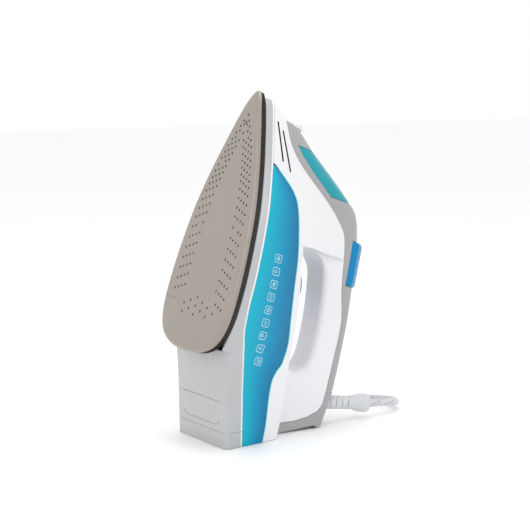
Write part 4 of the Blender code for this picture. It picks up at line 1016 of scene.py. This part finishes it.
drop = [(2.2, 0)] + [(-0.8 + 1.5 * math.cos(a), 1.5 * math.sin(a))
                     for a in [math.radians(60 + 30 * k) for k in range(9)]] + [(2.2, 0)]
arrow = [(-2.2, -2.0), (0.0, 2.2), (2.2, -2.0)]
plate_sign = [(-1.6, -2.4), (-1.6, 2.6), (0.2, 2.2), (1.5, 0.6), (1.5, -2.0), (-1.6, -2.4)]
bars = [[(-2.0, x), (2.0 - abs(x) * 0.5, x)] for x in (-1.8, 0.0, 1.8)]
SIGNS = [[circle(2.2), circle(0.8)], [drop], [wave(1.3), wave(0.0), wave(-1.3)],
         [plate_sign], [circle(2.2), [(0, 0), (1.7, 0)]], bars, [drop, wave(-3.0, 3.6, 0.3)],
         [arrow, [(-2.2, 0.8), (2.2, 0.8)]], [plate_sign, wave(2.6, 3.6, 0.3)]]
sign_height = smooth_table([(94.6, 51.2), (116.7, 44.9), (127.2, 42.7), (150, 40.4), (184, 38.7)])

HANDS = ((1, "left"), (-1, "right"))
side_panels, signs = [], []
for hand, name in HANDS:
    panel_piece = carved(piece("panel_" + name, panel_mesh(hand)), [FLOOR],
                         "panel blue", 30)
    side_panels.append(panel_piece)
    points, faces = [], []
    for k, strokes in enumerate(SIGNS):
        s = 183.8 - 11.15 * k
        v = sign_height(s)
        for share, stroke in [(1.0, rounded_square(4.1, 1.3))] + [(0.72, stroke) for stroke in strokes]:
            strip_points, strip_faces = ribbon([(v + a * share, s + b * 0.8) for a, b in stroke], hand)
            faces += [tuple(i + len(points) for i in face) for face in strip_faces]
            points += strip_points
    signs.append(piece("care_signs_" + name, mesh_of("signs " + name, points, faces), "print white", 30))
print("panel faces", len(side_panels[0].data.polygons), "sign faces", len(signs[0].data.polygons))

# %% Pale bead along the panel's free edge
rim_path = [(panel_top(s) + 0.12, s) for s in spread(9.5, 258, 2.5)]
rims = []
for hand, name in HANDS:
    points, faces = ribbon(rim_path, hand, width=0.9, low=-0.9, high=0.12)
    rims.append(carved(piece("panel_bead_" + name, mesh_of("bead " + name, points, faces)),
                       [FLOOR], "bead cyan", 40))

# %% [markdown]
# ## White housing
# The white moulding is the iron's backbone. It rises from the silver band as a wedge, opens for the
# hand, and closes again as the handle. The opening is one cut whose rim is rounded over under the
# handle, because a moulded grip has no sharp edge. Two slanted slots near the nose let warm air out.

# %% Housing walls
# Outlines hold (v, s) points in the drawing's millimetres.
HAND_OPENING = [(68, 200.5), (80, 202.5), (92, 202), (100, 199.5), (106, 195), (110, 188), (113, 178),
                (116.5, 162), (119, 147), (120.5, 133), (121.3, 118), (120.5, 107), (117, 99.5),
                (111, 95.5), (103, 94.5), (95, 96), (90, 99)]
REAR_COVER_FACE = [(147.3, 84), (147.3, 71), (144, 64), (135, 57), (122, 50.5), (108, 46), (106, 20)]
VENTS = [((23.5, 300), (31, 266.5)), ((30.5, 294), (41, 260))]
VENT_WIDTH = 2.1
INNER_WALL = 4.8
ROUND_OVER = 6.0
SEAM = 0.35


def body_top(s):
    """Top of the white housing: its nose, the seam under the grey cover, or the deck."""
    if s > 304.2:
        return back_line(s) - 0.4
    return cover_edge(s) + 4.0 if s > 201.5 else deck(s)


HOUSING = spread(304.4, 314.5, 2.5) + spread(204.6, 304.0, 3.0) + [201.7, 201.3] + spread(8, 198, 3.8)
shell = loft("housing", body_rings(HOUSING, lambda s: silver_edge(s) + SEAM, body_top, 0.0, 16))
GRIP = HANDLE_HALF - 0.01
grip = loft("grip", [[(x, v, s) for x, v in ((GRIP, deck(s) - 4), (GRIP, cover_edge(s) + 3),
                                             (-GRIP, cover_edge(s) + 3), (-GRIP, deck(s) - 4))]
                     for s in spread(0, 205, 4.1)])
seam = prism("seam", [(cover_edge(s), s) for s in spread(60, 304.2, 4.1)] + [(200, 60), (200, 304.2)], 60)
front_hollow = loft("front hollow", body_rings([s for s in HOUSING if 208 < s < 304.2] + [205.5],
                                               lambda s: 5.0, lambda s: body_top(s) + 3, INNER_WALL, 8))
rear_hollow = loft("rear hollow", body_rings([208] + [s for s in HOUSING if s < 201] + [-25],
                                             lambda s: 4.5, lambda s: deck(s) - 2.6, INNER_WALL, 8))
channel = prism("handle channel", [(112, 209), (117, 188), (121.5, 160), (124.5, 120), (124, 90),
                                   (80, 90), (80, 20), (170, 20), (170, 209)], 13.6)
cover_seat = prism("cover seat", [(v - SEAM, s + SEAM) for v, s in REAR_COVER_FACE[:-1]]
                   + [(105.65, 20), (170, 20), (170, 84.35)], 50)

# %% Hand opening with a rounded rim
rim = [(p.x, p.y) for p in eased([Vector((v, s, 0.0)) for v, s in HAND_OPENING], 2.6)]
rim += [(deck(s) - 0.2, s) for s in (99, 110, 125, 138, 150, 163, 175, 188)]


def clamped(share):
    return min(max(share, 0.0), 1.0)


def opening_ring(x, angle):
    """The opening's outline at one depth of the rounded rim; the angle runs from 0 to 90 degrees."""
    ring = []
    for k, (v, s) in enumerate(rim):
        before, after = Vector(rim[k - 1]), Vector(rim[(k + 1) % len(rim)])
        way = (after - before).normalized()
        radius = ROUND_OVER * clamped((v - 98) / 10) * clamped((200 - s) / 14)
        out = radius * (1 - math.cos(angle))
        across = abs(x) if abs(x) > HANDLE_HALF + 1 else HANDLE_HALF - radius * (1 - math.sin(angle))
        ring.append((math.copysign(across, x), v - way.y * out, s + way.x * out))
    return ring


quarter = [math.pi / 2 * k / 6 for k in range(7)]
opening_rings = ([opening_ring(-80, math.pi / 2)] + [opening_ring(-1, a) for a in quarter[::-1]]
                 + [opening_ring(1, a) for a in quarter] + [opening_ring(80, math.pi / 2)])
opening = loft("hand opening", opening_rings)

# %% Cutting the housing
vents = [prism("vent", [(v0, s0), (v0 - VENT_WIDTH, s0), (v1 - VENT_WIDTH, s1), (v1, s1)], 60)
         for (v0, s0), (v1, s1) in VENTS]
recesses = []
for hand in (1, -1):
    rings = []
    for s in spread(5, 261.7, 3.2):
        heights = [silver_edge(s) - 3 + (panel_top(s) + 0.6 - silver_edge(s) + 3) * k / 9 for k in range(10)]
        rings.append([(hand * (side(v, s) + 4), v, s) for v in heights]
                     + [(hand * (side(v, s) - 2.3), v, s) for v in reversed(heights)])
    recesses.append(loft("panel recess", rings))
deck_normal = Vector((0.0, 60.0, deck(120) - deck(180))).normalized()
dial_base = Vector((0.0, deck(166), 166.0)) + deck_normal * 0.8
shaft_way = turned("shaft way", [(-15, 3.3), (10, 3.3)], dial_base, deck_normal, 24)
lens_hole = turned("lens hole", [(-10, 4.0), (10, 4.0)], (0, deck(132), 132), (0, 1, 0), 32)
housing = carved(piece("white_housing", shell),
                 [(grip, "UNION"), seam, opening, front_hollow, rear_hollow, channel, cover_seat,
                  *vents, *recesses, shaft_way, lens_hole, FLOOR],
                 "white plastic", 32)


def on_vent_wall(here, out):
    """Whether a face is a wall of one of the vent slots, below the outer surface."""
    for (v0, s0), (v1, s1) in VENTS:
        line = v0 + (v1 - v0) * (here.z - s0) / (s1 - s0)
        if s1 - 0.1 < here.z < s0 + 0.1 and line - VENT_WIDTH - 0.1 < here.y < line + 0.1:
            return out < 0.2 and abs(here.x) < side(here.y, here.z) - 0.2
    return False


# The vent slots' inner walls take the dark navy instead of white: painted shade for the dark inside of the
# slots.
repainted(housing, "painted vent shade", on_vent_wall)
print("white housing faces", len(housing.data.polygons))

# %% [markdown]
# ## Grey covers
# A grey cover crowns the nose and runs back along the handle. A second one closes the handle's
# rear end, holds the cord guard and reaches the table behind the heel block. The crown is a set of
# flattened half ellipses. The water lid and the two keys sit in seats cut from the same curves.

# %% Top cover
LID_FRONT, LID_REAR = 286.0, 252.5
KEY_REAR, KEY_FRONT, KEY_HALF, KEY_GAP = 180.55, 221.05, 13.5, 0.3
SLIDER_STATION = 234.0
EYE_RADIUS = 2.1


def edge_width(s):
    """Half width where the crown meets the housing."""
    return side(cover_edge(s), s) if s > 204 else HANDLE_HALF


def crown_rings(stations, low, inset=0.0, drop=0.0, count=13):
    """Cross rings of the rounded back, from height low(s) up to the back line less drop."""
    rings = []
    for s in stations:
        top = back_line(s) - drop
        bottom = min(low(s), top - 1.2)
        right = []
        for k in range(count):
            turn = math.pi / 2 * k / (count - 1)
            reach = max(edge_width(s) * max(math.cos(turn), 0.0) ** 0.7 - inset, 0.0)
            right.append((reach, bottom + (top - bottom) * math.sin(turn), s))
        rings.append(both_sides(right, 1))
    return rings


def lid_rings(stations, grow=0.0, lift=0.0, wider=0.0, count=11):
    """Rings of the lid between its two ends, or of the seat cut for it."""
    rings = []
    for s in stations:
        edge, top = cover_edge(s), back_line(s)
        low = edge + 0.26 * (top - edge) - grow
        peak = top + lift
        right = []
        for k in range(count):
            v = low + (peak - low) * k / (count - 1)
            turn = math.asin(min(1.0, max(0.0, (v - edge) / (top - edge))))
            right.append((max(edge_width(s) * math.cos(turn) ** 0.7, 2.2) + wider, v, s))
        rings.append(both_sides(right))
    return rings


def sill(s):
    """Height of the keys' underside, which runs parallel to the handle."""
    return 137.0 - (s - KEY_REAR) * 0.1


def cover_low(s):
    """Lower edge of the grey cover, a seam's width above the housing."""
    return cover_edge(s) + SEAM


COVER = spread(204.6, 303.8, 3.2) + [204.2, 203.8] + spread(84.4, 200.6, 4.0)
LID_PIN = Vector((0.0, back_line(LID_REAR + 2.4) - EYE_RADIUS - 0.4, LID_REAR + 2.4))
lid_ends = [LID_FRONT, 278, 269, 261, 254, LID_REAR]
behind_lid = []
for x, v, s in lid_rings([LID_REAR])[0][:11]:
    v = v - 1.3 * (v - cover_edge(s)) / (back_line(s) - cover_edge(s))
    if v > LID_PIN.y - 0.5:
        behind_lid.append((x + 0.3, math.hypot(v - LID_PIN.y, s - LID_PIN.z) + 0.3))
lid_sweep = turned("lid sweep", [(-x, r) for x, r in behind_lid]
                   + [(x, r) for x, r in behind_lid[::-1]], LID_PIN, (1, 0, 0), 40)
key_notch = prism("key notch", [(sill(KEY_REAR), KEY_REAR - KEY_GAP), (200, KEY_REAR - KEY_GAP),
                                (200, KEY_FRONT + KEY_GAP), (sill(KEY_FRONT), KEY_FRONT + KEY_GAP)], 40)
key_well = prism("key well", [(sill(KEY_REAR) - 6, KEY_REAR - 0.33), (220, KEY_REAR - 0.33),
                              (220, KEY_FRONT + 0.33), (sill(KEY_FRONT) - 6, KEY_FRONT + 0.33)],
                 KEY_HALF + KEY_GAP)
slot = prism("slider slot", [(120, SLIDER_STATION - 4.8), (170, SLIDER_STATION - 4.8),
                             (170, SLIDER_STATION + 9.8), (120, SLIDER_STATION + 9.8)], 4.0)
NOZZLE_AXIS = Vector((0.0, 0.55, 0.84)).normalized()
nozzle_base = Vector((0.0, back_line(300) - 1, 300.0))
nozzle_hole = turned("nozzle hole", [(-30, 2.9), (30, 2.9)], nozzle_base, NOZZLE_AXIS, 32)
inner = loft("cover hollow", crown_rings(COVER[1:] + [70], lambda s: cover_edge(s) - 12, 2.4, 2.4))
seat = loft("lid seat", lid_rings([LID_FRONT + 0.4, 278, 269, 261, 254, LID_REAR - 0.4], 0.4, 3.0, 4.0))
top_cover = carved(piece("crown_cover", loft("crown", crown_rings(COVER, cover_low))),
                   [inner, seat, key_notch, key_well, lid_sweep, slot, nozzle_hole], "grey plastic", 32)
print("top cover faces", len(top_cover.data.polygons))

# %% Rear cover
REAR_BACK = [(160.2, 84), (160.2, 78), (158.4, 66), (157.4, 56), (156.6, 50), (156, 40), (155, 20)]
slices = []
for k in range(25):
    share = math.sin(math.pi / 2 * (k / 12 - 1))
    round_off = max(max(1.0 - abs(share) ** 2.86, 0.0) ** 0.5, 0.14)
    slices.append([(share * HANDLE_HALF, 147.3 + (v - 147.3) * round_off, s) for v, s in REAR_BACK]
                  + [(share * HANDLE_HALF, v, s) for v, s in REAR_COVER_FACE[::-1]])
foot_profile = [(0.100, -0.2), (0.100, 0.0004), (0.112, 0.0006), (0.150, 0.0030), (0.1545, 0.0030),
                (0.1560, 0.0), (0.19, 0.0), (0.19, -0.2)]
underside = loft("underside", [[(x, y, z) for y, z in foot_profile] for x in (-0.04, 0.04)], **STAND_METRES)
ball = Vector((0.0, 0.1635, 0.0208))
ball_room = turned("ball room", [(-0.0085 * math.cos(math.pi * k / 16),
                                  max(0.0085 * math.sin(math.pi * k / 16), 0.0003)) for k in range(17)],
                   ball, (0, 1, 0), 32, **STAND_METRES)
mouth = [(ball.y, ball.z - 0.0078), (ball.y + 0.030, ball.z - 0.0125), (ball.y + 0.030, ball.z + 0.0165),
         (ball.y, ball.z + 0.0165)]
guard_slot = loft("guard slot", [[(x, y, z) for y, z in mouth] for x in (-0.0075, 0.0075)], **STAND_METRES)
room = [(ball.y - 0.030, ball.z - 0.007), (ball.y + 0.002, ball.z - 0.007), (ball.y + 0.002, ball.z + 0.007),
        (ball.y - 0.030, ball.z + 0.007)]
cord_room = loft("cord room", [[(x, y, z) for y, z in room] for x in (-0.0075, 0.0075)], **STAND_METRES)
screw_z = (49.2 * math.cos(LEAN) - 118 * math.sin(LEAN)) / 1000 - 0.0051
screw_hole = turned("screw hole", [(-0.01, 0.0034), (0.0095, 0.0034)], (0, 0.126, screw_z), (0, 0, 1), 24,
                    **STAND_METRES)
rear_cover = carved(piece("tail_cover", loft("tail", slices)),
                    [underside, ball_room, guard_slot, cord_room, screw_hole], "grey plastic", 32)
print("rear cover faces", len(rear_cover.data.polygons))

# %% [markdown]
# ## Lid, keys, dial, slider and nozzle
# The lid is a thin turquoise shell over the filler, with an eye for its hinge pin. The two keys are
# solid blue mouldings with chamfered shoulders and softened edges. The dial turns under the hand,
# so its rim carries knurls, which repeat and come from a tree, and a ring of plain tick marks that
# grow wider stands for the settings.

# %% Lid
rings = lid_rings(lid_ends)
for ring in rings[-1:]:
    for k, (x, v, s) in enumerate(ring):
        share = min(k, 21 - k) / 10
        ring[k] = (x, v - 1.3 * share, s)
hollow = (crown_rings([290, 286], lambda s: cover_edge(s) - 10, 0.3, 0.35)
          + crown_rings([274, 266, 260, 252, 240], lambda s: cover_edge(s) - 10, 1.8, 2.2))
eye = turned("hinge eye", [(-4.5, EYE_RADIUS), (4.5, EYE_RADIUS)], LID_PIN, (1, 0, 0), 24)
bore = turned("hinge bore", [(-30, 1.3), (30, 1.3)], LID_PIN, (1, 0, 0), 24)
lid = carved(piece("turquoise_lid", loft("lid", rings)),
             [loft("lid hollow", hollow), (eye, "UNION"), bore],
             "lid turquoise", 32)
print("lid faces", len(lid.data.polygons))

# %% Keys
KEY_SIDES = ((1, "spray"), (-1, "steam"))
keys = []
for hand, name in KEY_SIDES:
    rings = []
    for s, rise in ((KEY_REAR, 0.0), (KEY_REAR + 2.5, 2.0), (KEY_FRONT - 2.5, 2.0), (KEY_FRONT, 0.0)):
        shape = [(KEY_GAP, -0.8), (KEY_HALF, -0.8), (KEY_HALF, 7.0 + rise),
                 (KEY_HALF - 3.5, 11.0 + rise), (7.0, 15.0 + rise), (KEY_GAP, 17.2 + rise)]
        rings.append([(hand * x, sill(s) + y, s) for x, y in shape])
    key = soften(piece(name + "_key", loft("key", rings)), 0.0006, 3, 14)
    keys.append(refinished(key, "key blue", 40))
print("key faces", [len(key.data.polygons) for key in keys])

# %% Dial
DIAL_RADIUS, DIAL_HEIGHT = 22.5, 12.0
dial_profile = [(0, DIAL_RADIUS - 0.9), (0.5, DIAL_RADIUS - 0.5), (1.5, DIAL_RADIUS - 0.5),
                (DIAL_HEIGHT - 2.0, DIAL_RADIUS - 0.5), (DIAL_HEIGHT - 0.8, DIAL_RADIUS - 1.1),
                (DIAL_HEIGHT - 0.2, DIAL_RADIUS - 2.1), (DIAL_HEIGHT, DIAL_RADIUS - 3.2),
                (DIAL_HEIGHT, 9.0), (DIAL_HEIGHT - 0.6, 8.2), (DIAL_HEIGHT - 0.6, 0.02)]
upright = {"where": Matrix.Identity(4)}
dial_body = turned("dial body", dial_profile, (0, 0, 0), (0, 0, 1), 96, **upright)
dial_bore = turned("dial bore", [(-1, 3.3), (6.3, 3.3)], (0, 0, 0), (0, 0, 1), 24, **upright)
dial_core = carved(piece("dial_core", dial_body), [dial_bore], "dial teal", 30)

knurl = Tree("knurled rim", {"Radius": (DIAL_RADIUS - 0.55) * MM, "Width": 0.0011, "Height": 0.0078,
                             "Depth": 0.0011})
circle_line = knurl.add("CurvePrimitiveCircle", {"Radius": knurl.size("Radius"), "Resolution": 60})
bar = knurl.add("MeshCube", {"Size": knurl.combine(knurl.size("Width"), knurl.size("Depth"),
                                                   knurl.size("Height"))})
bars_round = knurl.add("InstanceOnPoints", {"Points": circle_line.outputs[0], "Instance": bar.outputs["Mesh"],
                                            "Rotation": knurl.along_curve("X", "Z")})
raised = knurl.add("Transform", {"Geometry": bars_round.outputs[0], "Translation": (0.0, 0.0, 0.0058)})
knurl.finish(raised.outputs[0], "dial teal")
dial_knurls = knurl.grown("dial_knurls", bpy.data.meshes.new("knurl start"), 20)

TICK_CIRCLE, TICK_LENGTH, TICK_HEIGHT = 15.2 * MM, 1.7 * MM, 0.06 * MM
tick_points, tick_faces = [], []
for k in range(9):
    tick_width = (0.7 + 0.08 * k) * MM * 0.5
    place = (Matrix.Rotation(math.radians(-110 + 27.5 * k), 4, "Z")
             @ Matrix.Translation((0, TICK_CIRCLE, (DIAL_HEIGHT + 0.02) * MM))
             @ Matrix.Diagonal((tick_width, TICK_LENGTH, TICK_HEIGHT, 1.0)))
    start = len(tick_points)
    tick_points += [place @ Vector((x, y, z)) for z in (-1, 1)
                    for x, y in ((-1, -1), (1, -1), (1, 1), (-1, 1))]
    tick_faces += [tuple(start + i for i in face) for face in BOX_FACES]
dial_marks = piece("dial_marks", mesh_of("dial marks", tick_points, tick_faces, **WORLD_METRES),
                   "print white", 20)
turn_up = Vector((0, 0, 1)).rotation_difference(deck_normal).to_matrix().to_4x4()
for part in (dial_core, dial_knurls, dial_marks):
    part.data.transform(IN_IRON @ Matrix.Translation(dial_base * MM) @ turn_up)
print("dial faces", len(dial_core.data.polygons), "knurl faces", len(dial_knurls.data.polygons))

# %% Slider and nozzle
forward = Vector((0.0, -(back_line(228) - back_line(244)), 16.0)).normalized()
outward = Vector((0.0, forward.z, -forward.y))
slider_top = Vector((0.0, back_line(SLIDER_STATION) - 0.6, SLIDER_STATION))
rings = [[slider_top - outward * depth + Vector((x * half, 0, 0)) + forward * y * reach
          for x, y in ((1, -1), (1, 1), (-1, 1), (-1, -1))]
         for depth, half, reach in ((9.8, 5.6, 6.0), (8.0, 5.6, 6.0), (8.0, 3.6, 4.0), (0.0, 3.4, 3.6))]
slider = refinished(soften(piece("steam_lever", loft("slider", rings)), 0.0004, 2, 40), "key blue", 40)
nozzle_profile = [(-6.0, 2.6), (0.6, 2.6), (0.6, 3.4), (0.9, 3.6), (2.4, 3.45), (2.9, 3.2), (4.3, 2.2),
                  (4.6, 1.9)]
nozzle_way = turned("nozzle way", [(2.0, 0.7), (20, 0.7)], nozzle_base, NOZZLE_AXIS, 12)
nozzle_body = turned("nozzle", nozzle_profile, nozzle_base + NOZZLE_AXIS, NOZZLE_AXIS, 32)
nozzle = carved(piece("spray_tip", nozzle_body), [nozzle_way], "clear plastic", 40)
print("slider faces", len(slider.data.polygons), "nozzle faces", len(nozzle.data.polygons))

# %% [markdown]
# Under each key a wire spring pushes it back up. It is a round wire wound along a helix, and on
# the real iron it gets shorter as its key goes in.

# %% Key springs
SPRING_FOOT, SPRING_HEAD, SPRING_STATION, SPRING_RADIUS = 119.0, 131.555, 212.0, 3.4
KEY_MIDDLE = 7.0
springs = []
for hand, name in KEY_SIDES:
    helix = []
    for k in range(121):
        turn = math.tau * 5 * k / 120
        helix.append(IN_IRON @ (Vector((hand * KEY_MIDDLE + SPRING_RADIUS * math.cos(turn),
                                        SPRING_FOOT + (SPRING_HEAD - SPRING_FOOT) * k / 120,
                                        SPRING_STATION + SPRING_RADIUS * math.sin(turn))) * MM))
    springs.append(piece(name + "_wire_spring", tube("spring", helix, 0.0005, 8), "bright steel", 80))
print("spring faces", len(springs[0].data.polygons))

# %% [markdown]
# ## Putting the pieces on their bodies
# Every visual piece rides the body that carries its CAD part, so a pose moves both together. Where
# a piece covers a CAD node it replaces it. The rest of the nodes are seen as they are, so each gets
# the finish of what it is made of.

# %% Finishes on the working parts
NODE_FINISHES = {
    "cast aluminium": ["heater_casting", "chamber_cover"],
    "bright steel": ["heating_element", "lid_pin", "thermostat", "thermal_fuse", "dial_shaft",
                     "cord_clamp", "cover_screw", "chamber_screw_front", "chamber_screw_left",
                     "chamber_screw_right", "heel_screw_left", "heel_screw_right"],
    "brass pin": ["plug_pin_left", "plug_pin_right", "spray_piston", "steam_piston", "valve_rod",
                  "valve_seat"],
    "white plastic": ["terminal_block", "spray_pump_body", "steam_pump_body"],
    "grey plastic": ["heel_cover", "filler_funnel"],
    "clear plastic": ["water_tank"],
    "hose silicone": ["spray_hose", "steam_hose"],
    "brown lead": ["live_wire"],
    "blue lead": ["neutral_wire"],
    "red lens": ["pilot_lens", "pilot_lamp"],
}
for finish, names in NODE_FINISHES.items():
    for name in names:
        for slot_of_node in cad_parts[name].material_slots:
            slot_of_node.link = "OBJECT"
            slot_of_node.material = FINISHES[finish]
print("nodes finished:", sum(len(names) for names in NODE_FINISHES.values()))

# %% Riding and replacing
PIECES = [
    (plug, "iron", "white_rubber", ["plug_body"]), (tie, "iron", "black", []),
    (guard, "guard", "white_rubber", ["cord_guard"]), (sole, "iron", "sole", ["soleplate"]),
    (skirt, "iron", "black", ["heat_skirt"]), (skirt_ribs, "iron", "black", []),
    (band_piece, "iron", "silver", ["lower_housing"]),
    *[(panel_piece, "iron", "blue", ["side_panel_" + name])
      for panel_piece, (hand, name) in zip(side_panels, HANDS)],
    *[(sign, "iron", "white", []) for sign in signs], *[(bead, "iron", "blue", []) for bead in rims],
    (housing, "iron", "white", ["main_housing"]), (top_cover, "iron", "grey", ["top_cover"]),
    (rear_cover, "iron", "grey", ["rear_cover"]), (lid, "lid", "clear_blue", ["water_lid"]),
    *[(key, name + "_key", "blue", [name + "_button"]) for key, (hand, name) in zip(keys, KEY_SIDES)],
    (dial_core, "dial", "teal", ["temperature_dial"]), (dial_knurls, "dial", "teal", []),
    (dial_marks, "dial", "white", []), (slider, "slider", "blue", ["steam_slider"]),
    (nozzle, "iron", "clear", ["spray_nozzle"]),
    *[(spring, "iron", "steel", [name + "_spring"]) for spring, (hand, name) in zip(springs, KEY_SIDES)],
]
for part, body, slot_name, nodes in PIECES:
    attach(part, body)
    if nodes:
        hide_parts(*nodes)
for spring, (hand, name) in zip(springs, KEY_SIDES):
    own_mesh(spring)
print("visual pieces:", len(PIECES) + 1)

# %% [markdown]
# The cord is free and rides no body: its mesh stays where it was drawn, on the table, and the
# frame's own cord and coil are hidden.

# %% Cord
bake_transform(cord)
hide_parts("cord", "cord_coil")
